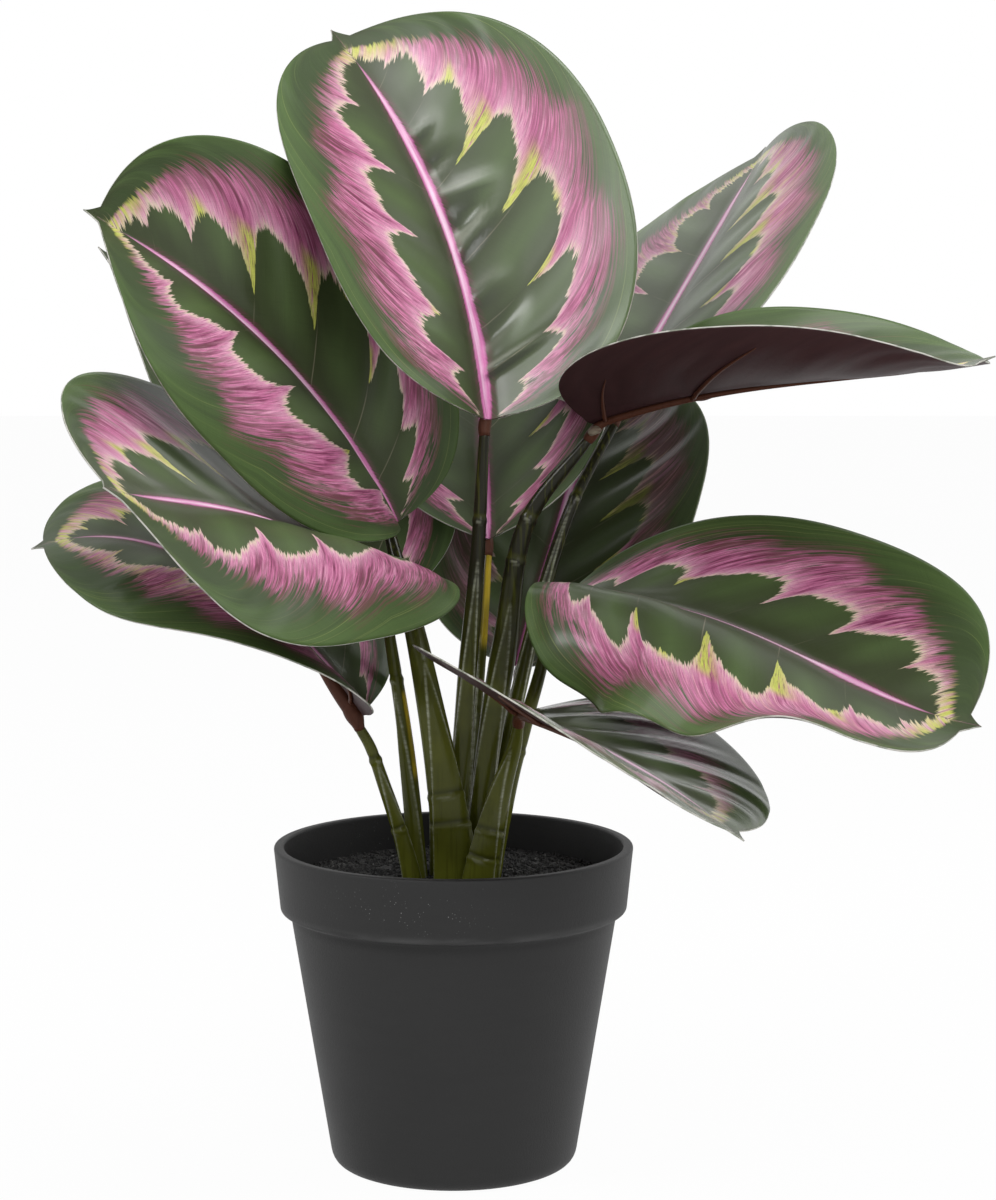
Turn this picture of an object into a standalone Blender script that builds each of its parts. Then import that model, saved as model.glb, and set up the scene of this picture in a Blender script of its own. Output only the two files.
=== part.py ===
"""Artificial prayer plant in a round plastic pot, built piece by piece in metres, +Z up.

The origin is the middle of the pot's flat underside, and the plant's front looks along -Y.
Each leaf is three pieces: a printed fabric blade, the moulded rib glued under its midline,
and the moulded stalk that carries the rib and stands in the soil plug.
"""
import math
from dataclasses import dataclass

import bmesh
import bpy
import numpy as np
from mathutils import Matrix, Vector

MM = 0.001
CLEARANCE = 0.3 * MM

# Pot: radii and heights in millimetres
POT_HEIGHT = 108.0
RIM_RADIUS = 60.0
RIM_WALL = 3.4
BAND_HEIGHT = 21.5
BAND_FOOT_RADIUS = 57.8
BODY_TOP_RADIUS = 54.0
BODY_FOOT_RADIUS = 40.6
FOOT_ROUNDING = 5.0
BODY_WALL = 2.6
FLOOR_THICKNESS = 3.5
BAND_INNER_TAPER = 1.4
BAND_INNER_STEP = 3.0
RIM_INNER_ROUNDING = 0.8
RIM_OUTER_ROUNDING = 1.2
ROUNDING_MIDDLE = 0.3
BAND_FOOT_BEVEL = 1.0
UNDERCUT_WIDTH = 1.2
UNDERCUT_TOP_DROP = 0.6
UNDERCUT_FOOT_DROP = 2.4
FOOT_ROUNDING_ANGLES = (6, 27, 48, 69)
POT_SEGMENTS = 48

# Soil plug
SOIL_TOP = 96.0
STALK_FOOT = 82.0
STALK_COLLAR_TOP = 97.0
SOCKET_CUT_TOP = 101.0

# Blades, ribs and stalks
BLADE_THICKNESS = 0.6
BLADE_ROWS = 13
OVAL_END = 0.985
BLADE_COLUMNS = 6
OUTLINE_POWER = 2.5
SPIKE_START = 0.94
SPIKE_HALF_WIDTH = 0.09
LOBE_DEPTH = 0.05
MIDLINE_STEPS = 48
RIB_END = 0.86
RIB_BASE_RADIUS = 1.5
RIB_TIP_RADIUS = 0.5
COLLAR_RADIUS = 2.2
COLLAR_LENGTH = 2.0
COLLAR_BEND = 2.0
COLLAR_BEND_PARTS = (0.35, 0.7)
STALK_UPRIGHTNESS = 0.8
STALK_SIDES = 8
STALK_STATIONS = 9
STALK_ROUTE_PARTS = 6
NODE_RING_BULGE = 1.16
NODE_RING_HALF_LENGTH = 1.2
NODE_RING_SPACE = 3.0


@dataclass(frozen=True)
class Half:
    """One side of a blade: its width, and how it leaves the midline and bends, from foot to tip."""

    width: float
    fold: tuple
    curl: tuple


@dataclass(frozen=True)
class Stalk:
    """A stalk: its foot, half width and depth at foot, middle and neck, route and node ring heights."""

    foot: tuple
    halves: tuple
    waypoints: tuple
    rings: tuple


@dataclass(frozen=True)
class Leaf:
    """A leaf's attitude (degrees) and size (millimetres), with its stalk."""

    name: str
    base: tuple
    heading: float
    rise: float
    roll: float
    droop: float
    hook: float
    sweep: float
    twist: float
    length: float
    left: Half
    right: Half
    stalk: Stalk


LEAVES = (
    Leaf("crown", (11, -7, 250), 99, 62, 12, 10, 3, -29, 5, 155,
         Half(54, (34, 13), (-32, -15)), Half(63, (38, 10), (14, 27)),
         Stalk((-1.5, -1.5), ((3.4, 3.0), (3.2, 2.8), (1.7, 1.7)),
               ((2, -2, 130), (5, -4, 170), (8, -6, 205)), (217,))),
    Leaf("right_mid", (46, 0, 248), -29, 20, -12, 31, -26, -9, 6, 137,
         Half(54, (17, -4), (82, 34)), Half(51, (17, -22), (-4, 69)),
         Stalk((7, -1.5), ((3.4, 3.0), (4.4, 3.0), (1.7, 1.7)),
               ((11, -1, 136), (17, -1, 175), (24, -1, 215)), (203, 217))),
    Leaf("left_high", (-20, 14, 214), 198, 64, -35, 31, -8, -27, -2, 148,
         Half(67, (36, 21), (-89, -44)), Half(56, (34, 34), (2, 20)),
         Stalk((1, -9), ((7.6, 3.2), (4.6, 3.0), (2.0, 2.0)),
               ((-3, -9, 130), (-9, -6, 163), (-14, 0, 185)), (116, 126))),
    Leaf("left_mid", (-23, -2, 194), 229, 35, 0, 50, -33, -20, -20, 152,
         Half(65, (29, -12), (-88, -35)), Half(58, (28, 14), (15, 22)),
         Stalk((-11.5, 1), ((2.8, 2.6), (2.6, 2.4), (1.7, 1.7)),
               ((-14, 2, 125), (-17, 3, 150), (-20, 2, 170)), (163,))),
    Leaf("right_low", (35, -6, 191), -30, 7, -31, 60, -48, -7, 12, 156,
         Half(58, (42, 54), (32, 5)), Half(65, (20, -46), (-200, 75)),
         Stalk((13.4, -5), ((2.2, 2.4), (2.6, 2.4), (1.7, 1.7)),
               ((19, -5, 130), (24, -5, 150), (29, -5, 168)), (140,))),
    Leaf("left_low", (-30, -13, 154), 187, 56, -10, 34, 40, -13, 0, 127,
         Half(54, (20, 3), (0, -60)), Half(51, (30, 2), (3, 9)),
         Stalk((-14, -6), ((3.0, 2.8), (2.4, 2.2), (1.7, 1.7)),
               ((-18, -7, 114), (-23, -9, 130), (-27, -11, 142)), (114, 138))),
    Leaf("centre_back", (11, 30, 207), 92, 41, -3, 17, 0, 0, 0, 150,
         Half(51, (30, 10), (0, 0)), Half(52, (30, 15), (0, 0)),
         Stalk((1.5, 5.5), ((2.6, 2.4), (2.4, 2.2), (1.6, 1.6)),
               ((5, 10, 130), (8, 16, 160), (10, 22, 185)), (150,))),
    Leaf("right_high", (54, 34, 251), 58, 39, -10, 6, -3, -7, -18, 152,
         Half(52, (15, 5), (0, 4)), Half(56, (12, 18), (-8, -45)),
         Stalk((9, 5.5), ((2.8, 2.6), (2.6, 2.4), (1.7, 1.7)),
               ((17, 9, 136), (27, 13, 180), (39, 19, 218)), (222,))),
    Leaf("left_back", (-19, 38, 185), 150, 42, -40, -11, -10, -8, 33, 163,
         Half(43, (9, 38), (-8, 0)), Half(52, (15, 7), (0, 4)),
         Stalk((-5, 5.5), ((2.6, 2.4), (2.4, 2.2), (1.6, 1.6)),
               ((-6, 11, 125), (-8, 20, 150), (-12, 28, 168)), (140,))),
    Leaf("front_low", (22, -12, 154), -86, 7, -8, 12, 13, -48, -5, 149,
         Half(46, (21, 0), (0, 0)), Half(52, (25, 13), (0, 0)),
         Stalk((8.5, -17), ((5.6, 3.8), (4.4, 3.2), (1.8, 1.8)),
               ((12, -17, 115), (16, -15, 130), (20, -12, 142)), (106, 115))),
    Leaf("right_shade", (22, 26, 164), 73, 42, 5, 10, -2, -1, 0, 151,
         Half(47, (17, 11), (10, 0)), Half(51, (15, 12), (0, 0)),
         Stalk((5, 12), ((2.6, 2.4), (2.4, 2.2), (1.6, 1.6)),
               ((9, 16, 118), (14, 20, 134), (18, 23, 148)), (125,))),
)

# Colour, roughness, metallic
FINISHES = {
    "printed_leaf": ((0.08, 0.10, 0.05), 0.45, 0.0),
    "rib_brown": ((0.09, 0.04, 0.025), 0.4, 0.0),
    "stalk_olive": ((0.07, 0.075, 0.02), 0.3, 0.0),
    "soil_black": ((0.012, 0.011, 0.010), 0.95, 0.0),
    "pot_charcoal": ((0.03, 0.03, 0.031), 0.42, 0.0),
}


def clear_scene():
    """Remove every object that the file opened with."""
    for item in list(bpy.data.objects):
        bpy.data.objects.remove(item, do_unlink=True)


def new_collection(name):
    """Add a collection to the scene."""
    collection = bpy.data.collections.new(name)
    bpy.context.scene.collection.children.link(collection)
    return collection


def finish_material(name):
    """Return the Principled material of a finish, made once."""
    if name in bpy.data.materials:
        return bpy.data.materials[name]
    colour, roughness, metallic = FINISHES[name]
    material = bpy.data.materials.new(name)
    material.use_nodes = True
    shader = material.node_tree.nodes["Principled BSDF"]
    shader.inputs["Base Color"].default_value = (*colour, 1.0)
    shader.inputs["Roughness"].default_value = roughness
    shader.inputs["Metallic"].default_value = metallic
    material.diffuse_color = (*colour, 1.0)
    return material


def add_mesh_object(name, mesh, collection, finish):
    """Put a mesh in the scene as a smooth named object with its finish."""
    item = bpy.data.objects.new(name, mesh)
    collection.objects.link(item)
    if finish:
        mesh.materials.append(finish_material(finish))
    return item


def mesh_from(name, points, faces):
    """Make a mesh from points in millimetres."""
    mesh = bpy.data.meshes.new(name)
    mesh.from_pydata([tuple(c * MM for c in point) for point in points], [], faces)
    mesh.update()
    mesh.shade_smooth()
    return mesh


def blend(pair, along):
    """Read a foot-to-tip pair of values at a fraction along the blade."""
    return pair[0] * (1.0 - along) + pair[1] * along


def turn(vector, axis, degrees):
    """Turn a vector about an axis."""
    return Matrix.Rotation(math.radians(degrees), 3, axis) @ vector


def start_frame(leaf):
    """Return the tangent, side and normal at the blade's foot."""
    heading = math.radians(leaf.heading)
    rise = math.radians(leaf.rise)
    tangent = Vector((math.cos(heading) * math.cos(rise), math.sin(heading) * math.cos(rise), math.sin(rise)))
    side = tangent.cross(Vector((0, 0, 1))).normalized()
    normal = side.cross(tangent)
    roll = math.radians(leaf.roll)
    rolled_side = side * math.cos(roll) - normal * math.sin(roll)
    rolled_normal = side * math.sin(roll) + normal * math.cos(roll)
    return tangent, rolled_side, rolled_normal


def midline(leaf):
    """Walk the midline in small steps: it droops, sweeps sideways and twists as it goes."""
    tangent, side, normal = start_frame(leaf)
    point = Vector(leaf.base)
    frames = [(point.copy(), tangent, side, normal)]
    step = 1.0 / MIDLINE_STEPS
    for index in range(MIDLINE_STEPS):
        along = (index + 0.5) * step
        before = tangent
        droop = (leaf.droop + 3.0 * leaf.hook * along * along) * step
        tangent = turn(tangent, side, -droop)
        normal = turn(normal, side, -droop)
        tangent = turn(tangent, normal, -leaf.sweep * step)
        side = turn(side, normal, -leaf.sweep * step)
        side = turn(side, tangent, leaf.twist * step)
        normal = turn(normal, tangent, leaf.twist * step)
        point = point + (before + tangent) * (0.5 * leaf.length * step)
        frames.append((point.copy(), tangent, side, normal))
    return frames


def frame_at(frames, along):
    """Read the midline's frame at a fraction of its length."""
    place = along * MIDLINE_STEPS
    index = min(int(place), MIDLINE_STEPS - 1)
    part = place - index
    return [a.lerp(b, part) for a, b in zip(frames[index], frames[index + 1])]


def blade_rows():
    """Return the rows' fractions along the blade, set evenly round the oval outline."""
    rows = []
    for row in range(1, BLADE_ROWS):
        level = math.cos(math.pi * row / BLADE_ROWS)
        rows.append(0.5 * OVAL_END * (1.0 - math.copysign(abs(level) ** (2.0 / OUTLINE_POWER), level)))
    return rows


def outline(along):
    """Return the blade's half width over its greatest half width: a rounded oval with a short spike."""
    oval = max(0.0, 1.0 - abs(2.0 * along / OVAL_END - 1.0) ** OUTLINE_POWER) ** (1.0 / OUTLINE_POWER)
    if along <= SPIKE_START:
        return oval
    spike = SPIKE_HALF_WIDTH * ((1.0 - along) / (1.0 - SPIKE_START)) ** 1.6
    return max(oval, spike)


def half_offset(half, along, across):
    """Return the sideways and upward distances of a point on one half, which bends in an arc."""
    reach = half.width * outline(along) * across
    fold = math.radians(blend(half.fold, along))
    bend = math.radians(blend(half.curl, along)) / half.width
    if abs(bend) < 1e-5:
        return reach * math.cos(fold), reach * math.sin(fold)
    sideways = (math.sin(fold + bend * reach) - math.sin(fold)) / bend
    upward = (math.cos(fold) - math.cos(fold + bend * reach)) / bend
    return sideways, upward


def blade_point(leaf, frames, along, position):
    """Return a point of the blade's middle surface; position runs from -1 (left edge) to 1 (right edge)."""
    point, tangent, side, normal = frame_at(frames, along)
    half = leaf.left if position < 0 else leaf.right
    sideways, upward = half_offset(half, along, abs(position))
    lobe = LOBE_DEPTH * leaf.length * (abs(position) * outline(along)) ** 2 * (1.0 - along) ** 4
    return point + side * math.copysign(sideways, position) + normal * upward - tangent * lobe


def build_blade(leaf, frames, collection):
    """Build the fabric blade: an open surface between its foot and tip, thickened to a sheet."""
    points = [tuple(frame_at(frames, 0.0)[0])]
    for along in blade_rows():
        for column in range(BLADE_COLUMNS + 1):
            points.append(tuple(blade_point(leaf, frames, along, 2.0 * column / BLADE_COLUMNS - 1.0)))
    points.append(tuple(frame_at(frames, 1.0)[0]))
    width = BLADE_COLUMNS + 1
    tip = len(points) - 1
    last_row = tip - width
    faces = []
    for column in range(BLADE_COLUMNS):
        faces.append((0, column + 2, column + 1))
        faces.append((last_row + column, last_row + column + 1, tip))
        for row in range(BLADE_ROWS - 2):
            first = 1 + row * width + column
            faces.append((first, first + 1, first + width + 1, first + width))
    mesh = mesh_from("leaf_" + leaf.name, points, faces)
    blade = add_mesh_object("leaf_" + leaf.name, mesh, collection, "printed_leaf")
    sheet = blade.modifiers.new("sheet", "SOLIDIFY")
    sheet.thickness = BLADE_THICKNESS * MM
    sheet.offset = 0.0
    return blade


def rib_radius(along):
    """Return the rib's radius, thinning towards its end."""
    return RIB_BASE_RADIUS + (RIB_TIP_RADIUS - RIB_BASE_RADIUS) * along / RIB_END


def under_blade(leaf, frames, along, radius):
    """Return the point that lets a round rib of this radius lie under the fold."""
    point, _, _, normal = frame_at(frames, along)
    fold = max(abs(blend(leaf.left.fold, along)), abs(blend(leaf.right.fold, along)))
    depth = radius + 0.5 * BLADE_THICKNESS / math.cos(math.radians(fold)) + CLEARANCE / MM
    return point - normal * depth


def stalk_direction(leaf, frames):
    """Return the direction in which the stalk meets the rib: between the blade's foot and upright."""
    return (frames[0][1] + Vector((0, 0, STALK_UPRIGHTNESS))).normalized()


def rib_path(leaf, frames):
    """List the rib's centres and radii: the collar over the stalk, a short bend, then the midline."""
    direction = stalk_direction(leaf, frames)
    bend_end_along = blade_rows()[1]
    bend_end = under_blade(leaf, frames, bend_end_along, RIB_BASE_RADIUS)
    corner = under_blade(leaf, frames, 0.0, COLLAR_RADIUS)
    collar_end = corner - direction * COLLAR_BEND
    start = collar_end - direction * COLLAR_LENGTH
    path = [(start, COLLAR_RADIUS), (collar_end, COLLAR_RADIUS)]
    for part in COLLAR_BEND_PARTS:
        middle = collar_end.lerp(corner, part).lerp(corner.lerp(bend_end, part), part)
        path.append((middle, blend((COLLAR_RADIUS, RIB_BASE_RADIUS), part)))
    path.append((bend_end, RIB_BASE_RADIUS))
    for along in blade_rows():
        if bend_end_along < along < RIB_END:
            path.append((under_blade(leaf, frames, along, rib_radius(along)), rib_radius(along)))
    return path


def build_rib(leaf, frames, collection):
    """Build the moulded rib as a round bar that thins towards the tip."""
    path = rib_path(leaf, frames)
    curve = bpy.data.curves.new("rib_" + leaf.name, "CURVE")
    curve.dimensions = "3D"
    curve.bevel_depth = MM
    curve.bevel_resolution = 1
    curve.use_fill_caps = True
    spline = curve.splines.new("POLY")
    spline.points.add(len(path) - 1)
    for place, (centre, radius) in zip(spline.points, path):
        place.co = (*(centre * MM), 1.0)
        place.radius = radius
    rib = bpy.data.objects.new("rib_" + leaf.name, curve)
    collection.objects.link(rib)
    curve.materials.append(finish_material("rib_brown"))
    return rib


def smooth_route(points, parts):
    """Return Catmull-Rom points through the route, the given number of steps between neighbours."""
    ends = [points[0] * 2 - points[1]] + points + [points[-1] * 2 - points[-2]]
    route = []
    for index in range(1, len(ends) - 2):
        p0, p1, p2, p3 = ends[index - 1:index + 3]
        for step in range(parts):
            t = step / parts
            route.append(0.5 * ((2 * p1) + (p2 - p0) * t + (2 * p0 - 5 * p1 + 4 * p2 - p3) * t * t
                                + (3 * p1 - p0 - 3 * p2 + p3) * t ** 3))
    route.append(points[-1])
    return route


def stalk_route(leaf, frames):
    """Return the stalk's centres from just above the soil to the rib's collar."""
    direction = stalk_direction(leaf, frames)
    end = rib_path(leaf, frames)[0][0] - direction * (CLEARANCE / MM)
    foot = Vector((*leaf.stalk.foot, STALK_COLLAR_TOP))
    return smooth_route([foot] + [Vector(p) for p in leaf.stalk.waypoints] + [end], STALK_ROUTE_PARTS)


def stalk_halves(stalk, part):
    """Return the half width and half depth at a fraction of the way from foot to neck."""
    foot, middle, neck = stalk.halves
    if part < 0.5:
        return [blend(pair, 2.0 * part) for pair in zip(foot, middle)]
    return [blend(pair, 2.0 * part - 1.0) for pair in zip(middle, neck)]


def stalk_section(leaf, centre, tangent, height_part, swell):
    """Return one closed ring of the stalk: an ellipse flattened towards the foot."""
    half_width, half_depth = [size * swell for size in stalk_halves(leaf.stalk, height_part)]
    wide = (Vector((1, 0, 0)) - tangent * tangent.x).normalized()
    deep = tangent.cross(wide)
    ring = []
    for side in range(STALK_SIDES):
        angle = 2.0 * math.pi * side / STALK_SIDES
        ring.append(centre + wide * (half_width * math.cos(angle)) + deep * (half_depth * math.sin(angle)))
    return ring


def stalk_stations(leaf, frames):
    """List the stalk's sections: a straight foot, the bending length and a bulge at each node ring."""
    route = stalk_route(leaf, frames)
    lengths = [0.0]
    for before, after in zip(route, route[1:]):
        lengths.append(lengths[-1] + (after - before).length)
    total = lengths[-1]
    heights = [point.z for point in route]
    marks = [(total * index / STALK_STATIONS, 1.0) for index in range(1, STALK_STATIONS + 1)]
    for ring_height in leaf.stalk.rings:
        middle = float(np.interp(ring_height, heights, lengths))
        marks = [mark for mark in marks if abs(mark[0] - middle) > NODE_RING_SPACE]
        marks += [(middle - NODE_RING_HALF_LENGTH, 1.0), (middle, NODE_RING_BULGE),
                  (middle + NODE_RING_HALF_LENGTH, 1.0)]
    marks.sort()
    up = Vector((0, 0, 1))
    stations = [stalk_section(leaf, Vector((*leaf.stalk.foot, STALK_FOOT)), up, 0.0, 1.0),
                stalk_section(leaf, route[0], up, 0.0, 1.0)]
    for length, swell in marks:
        index = min(int(np.searchsorted(lengths, length, side="right")) - 1, len(route) - 2)
        part = (length - lengths[index]) / (lengths[index + 1] - lengths[index])
        centre = route[index].lerp(route[index + 1], part)
        tangent = (route[min(index + 2, len(route) - 1)] - route[max(index - 1, 0)]).normalized()
        if length == marks[-1][0]:
            tangent = stalk_direction(leaf, frames)
        stations.append(stalk_section(leaf, centre, tangent, length / total, swell))
    return stations


def loft(name, rings, collection, finish):
    """Join closed rings of equal count into one solid with flat ends."""
    count = len(rings[0])
    points = [tuple(point) for ring in rings for point in ring]
    faces = [tuple(reversed(range(count)))]
    for row in range(len(rings) - 1):
        for side in range(count):
            after = (side + 1) % count
            faces.append((row * count + side, row * count + after,
                          (row + 1) * count + after, (row + 1) * count + side))
    top = (len(rings) - 1) * count
    faces.append(tuple(range(top, top + count)))
    return add_mesh_object(name, mesh_from(name, points, faces), collection, finish)


def inner_wall():
    """List the pot's inner wall from the floor up to the rim, as radius and height."""
    band_foot = POT_HEIGHT - BAND_HEIGHT
    rim_inner = RIM_RADIUS - RIM_WALL
    return [(BODY_FOOT_RADIUS - BODY_WALL, FLOOR_THICKNESS),
            (BODY_TOP_RADIUS - BODY_WALL, band_foot - BAND_INNER_STEP),
            (rim_inner - BAND_INNER_TAPER, band_foot + BAND_INNER_STEP),
            (rim_inner, POT_HEIGHT - RIM_INNER_ROUNDING)]


def pot_profile():
    """List the pot's half profile in millimetres, from the inner floor over the rim to the underside."""
    band_foot = POT_HEIGHT - BAND_HEIGHT
    rounding_radius = BODY_FOOT_RADIUS - FOOT_ROUNDING
    profile = [(0.0, FLOOR_THICKNESS)] + inner_wall()
    profile += [(RIM_RADIUS - RIM_WALL + RIM_INNER_ROUNDING, POT_HEIGHT),
                (RIM_RADIUS - RIM_OUTER_ROUNDING, POT_HEIGHT),
                (RIM_RADIUS - ROUNDING_MIDDLE * RIM_OUTER_ROUNDING,
                 POT_HEIGHT - ROUNDING_MIDDLE * RIM_OUTER_ROUNDING),
                (RIM_RADIUS, POT_HEIGHT - RIM_OUTER_ROUNDING),
                (BAND_FOOT_RADIUS, band_foot + RIM_OUTER_ROUNDING),
                (BAND_FOOT_RADIUS - BAND_FOOT_BEVEL, band_foot),
                (BODY_TOP_RADIUS + UNDERCUT_WIDTH, band_foot - UNDERCUT_TOP_DROP),
                (BODY_TOP_RADIUS, band_foot - UNDERCUT_FOOT_DROP)]
    for degrees in FOOT_ROUNDING_ANGLES:
        angle = math.radians(degrees)
        profile.append((rounding_radius + FOOT_ROUNDING * math.cos(angle),
                        FOOT_ROUNDING * (1.0 - math.sin(angle))))
    profile += [(rounding_radius, 0.0), (0.0, 0.0)]
    return profile


def build_turned(name, profile, collection, finish):
    """Turn a half profile about Z into a closed solid."""
    edges = [(index, index + 1) for index in range(len(profile) - 1)]
    mesh = bpy.data.meshes.new(name)
    mesh.from_pydata([(radius * MM, 0.0, height * MM) for radius, height in profile], edges, [])
    item = add_mesh_object(name, mesh, collection, finish)
    turned = item.modifiers.new("turn", "SCREW")
    turned.steps = POT_SEGMENTS
    turned.render_steps = POT_SEGMENTS
    turned.use_merge_vertices = True
    turned.merge_threshold = 0.00001
    turned.use_smooth_shade = True
    return item


def soil_profile():
    """List the soil plug's half profile: it fills the pot to just below the rim, clear of the wall."""
    gap = CLEARANCE / MM
    floor, step_foot, step_top, rim = inner_wall()
    part = (SOIL_TOP - step_top[1]) / (rim[1] - step_top[1])
    radius_at_top = blend((step_top[0], rim[0]), part)
    return [(0.0, SOIL_TOP), (radius_at_top - gap, SOIL_TOP), (step_top[0] - gap, step_top[1] + gap),
            (step_foot[0] - gap, step_foot[1]), (floor[0] - gap, floor[1] + gap), (0.0, floor[1] + gap)]


def socket_cutter(leaf, cutters):
    """Build the upright elliptical cutter of a stalk's socket, a clearance larger all round."""
    gap = CLEARANCE / MM
    half_width = leaf.stalk.halves[0][0] + gap
    half_depth = leaf.stalk.halves[0][1] + gap
    rings = []
    for height in (STALK_FOOT - gap, SOCKET_CUT_TOP):
        ring = []
        for side in range(STALK_SIDES):
            angle = 2.0 * math.pi * side / STALK_SIDES
            ring.append(Vector((leaf.stalk.foot[0] + half_width * math.cos(angle),
                                leaf.stalk.foot[1] + half_depth * math.sin(angle), height)))
        rings.append(ring)
    cutter = loft("socket_" + leaf.name, rings, cutters, None)
    cutter.hide_render = True
    cutter.display_type = "WIRE"
    return cutter


def build_soil(collection, cutters):
    """Build the soil plug with one socket for each stalk."""
    soil = build_turned("soil", soil_profile(), collection, "soil_black")
    for leaf in LEAVES:
        cut = soil.modifiers.new("socket_" + leaf.name, "BOOLEAN")
        cut.operation = "DIFFERENCE"
        cut.object = socket_cutter(leaf, cutters)
        cut.solver = "EXACT"
    return soil


def build_leaf(leaf, collection):
    """Build a leaf's blade, rib and stalk."""
    frames = midline(leaf)
    build_blade(leaf, frames, collection)
    build_rib(leaf, frames, collection)
    loft("stalk_" + leaf.name, stalk_stations(leaf, frames), collection, "stalk_olive")


def main():
    """Build the potted plant."""
    clear_scene()
    parts = new_collection("potted_prayer_plant")
    cutters = new_collection("cutters")
    build_turned("pot", pot_profile(), parts, "pot_charcoal")
    build_soil(parts, cutters)
    for leaf in LEAVES:
        build_leaf(leaf, parts)


main()
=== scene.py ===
"""Looks of an artificial prayer plant in a round pot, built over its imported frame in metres, +Z up.

Each leaf is a printed fabric blade with a moulded rib glued under it and a moulded stalk that stands
in loose black grains. The plant's front looks along -Y.
"""
from __future__ import annotations

import logging
import math
from collections.abc import Callable
from dataclasses import dataclass, field
from enum import Enum

import bpy
import numpy as np
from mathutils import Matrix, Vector


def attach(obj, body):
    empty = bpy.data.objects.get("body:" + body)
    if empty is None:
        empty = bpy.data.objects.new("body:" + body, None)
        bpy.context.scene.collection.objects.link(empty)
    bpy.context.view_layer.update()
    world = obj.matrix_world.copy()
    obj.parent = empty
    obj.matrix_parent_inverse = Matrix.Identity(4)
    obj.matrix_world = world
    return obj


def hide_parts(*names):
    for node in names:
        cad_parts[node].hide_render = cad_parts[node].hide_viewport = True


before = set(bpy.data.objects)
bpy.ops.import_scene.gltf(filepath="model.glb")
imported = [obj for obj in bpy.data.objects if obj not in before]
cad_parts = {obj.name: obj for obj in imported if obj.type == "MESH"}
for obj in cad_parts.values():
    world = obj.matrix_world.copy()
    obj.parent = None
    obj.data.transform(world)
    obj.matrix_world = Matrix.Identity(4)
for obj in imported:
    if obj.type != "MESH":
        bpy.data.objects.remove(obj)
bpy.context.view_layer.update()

LOG = logging.getLogger("prayer_plant")
MM = 0.001
ROOT = "root"
UV_MAP = "print"
WHITE = (1.0, 1.0, 1.0, 1.0)
Place = tuple[float, float, float]
Mesh = tuple[np.ndarray, list[list[int]]]
# The blade's outline is an oval of this power that ends at this share of the midline.
OVAL_END = 0.985
OUTLINE_POWER = 2.5


# ---------------------------------------------------------------- shader expressions


class Value:
    """A node's output that reads like a number in an expression."""

    def __init__(self, graph: "Graph", socket: bpy.types.NodeSocket) -> None:
        """Keep the graph and the socket."""
        self.graph = graph
        self.socket = socket

    def __add__(self, other: "Value | float") -> "Value":
        """Add."""
        return self.graph.math("ADD", self, other)

    def __sub__(self, other: "Value | float") -> "Value":
        """Subtract."""
        return self.graph.math("SUBTRACT", self, other)

    def __rsub__(self, other: float) -> "Value":
        """Subtract from a number."""
        return self.graph.math("SUBTRACT", other, self)

    def __mul__(self, other: "Value | float") -> "Value":
        """Multiply."""
        return self.graph.math("MULTIPLY", self, other)

    def __truediv__(self, other: "Value | float") -> "Value":
        """Divide."""
        return self.graph.math("DIVIDE", self, other)

    def __pow__(self, other: "Value | float") -> "Value":
        """Raise to a power."""
        return self.graph.math("POWER", self, other)

    def __abs__(self) -> "Value":
        """Drop the sign."""
        return self.graph.math("ABSOLUTE", self)

    def __neg__(self) -> "Value":
        """Change the sign."""
        return self.graph.math("MULTIPLY", self, -1.0)

    def __gt__(self, other: "Value | float") -> "Value":
        """Return 1 where this is greater."""
        return self.graph.math("GREATER_THAN", self, other)

    __radd__ = __add__
    __rmul__ = __mul__

    def clamped(self) -> "Value":
        """Hold between 0 and 1."""
        return self.graph.value("ShaderNodeClamp", None, {"Value": self})

    def step(self, low: "Value | float", high: "Value | float") -> "Value":
        """Rise smoothly from 0 at low to 1 at high.

        Args:
            low: Where the rise starts; greater than high for a fall.
            high: Where the rise ends.

        Returns:
            The smooth step.
        """
        return self.graph.value("ShaderNodeMapRange", {"interpolation_type": "SMOOTHSTEP"},
                                {"Value": self, "From Min": low, "From Max": high}, "Result")

    def bell(self, middle: "Value | float", width: "Value | float") -> "Value":
        """Return a bell of height 1 about a middle, e to the minus square of the distance over width."""
        away = (self - middle) / width
        return self.graph.math("EXPONENT", -(away * away))


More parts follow.
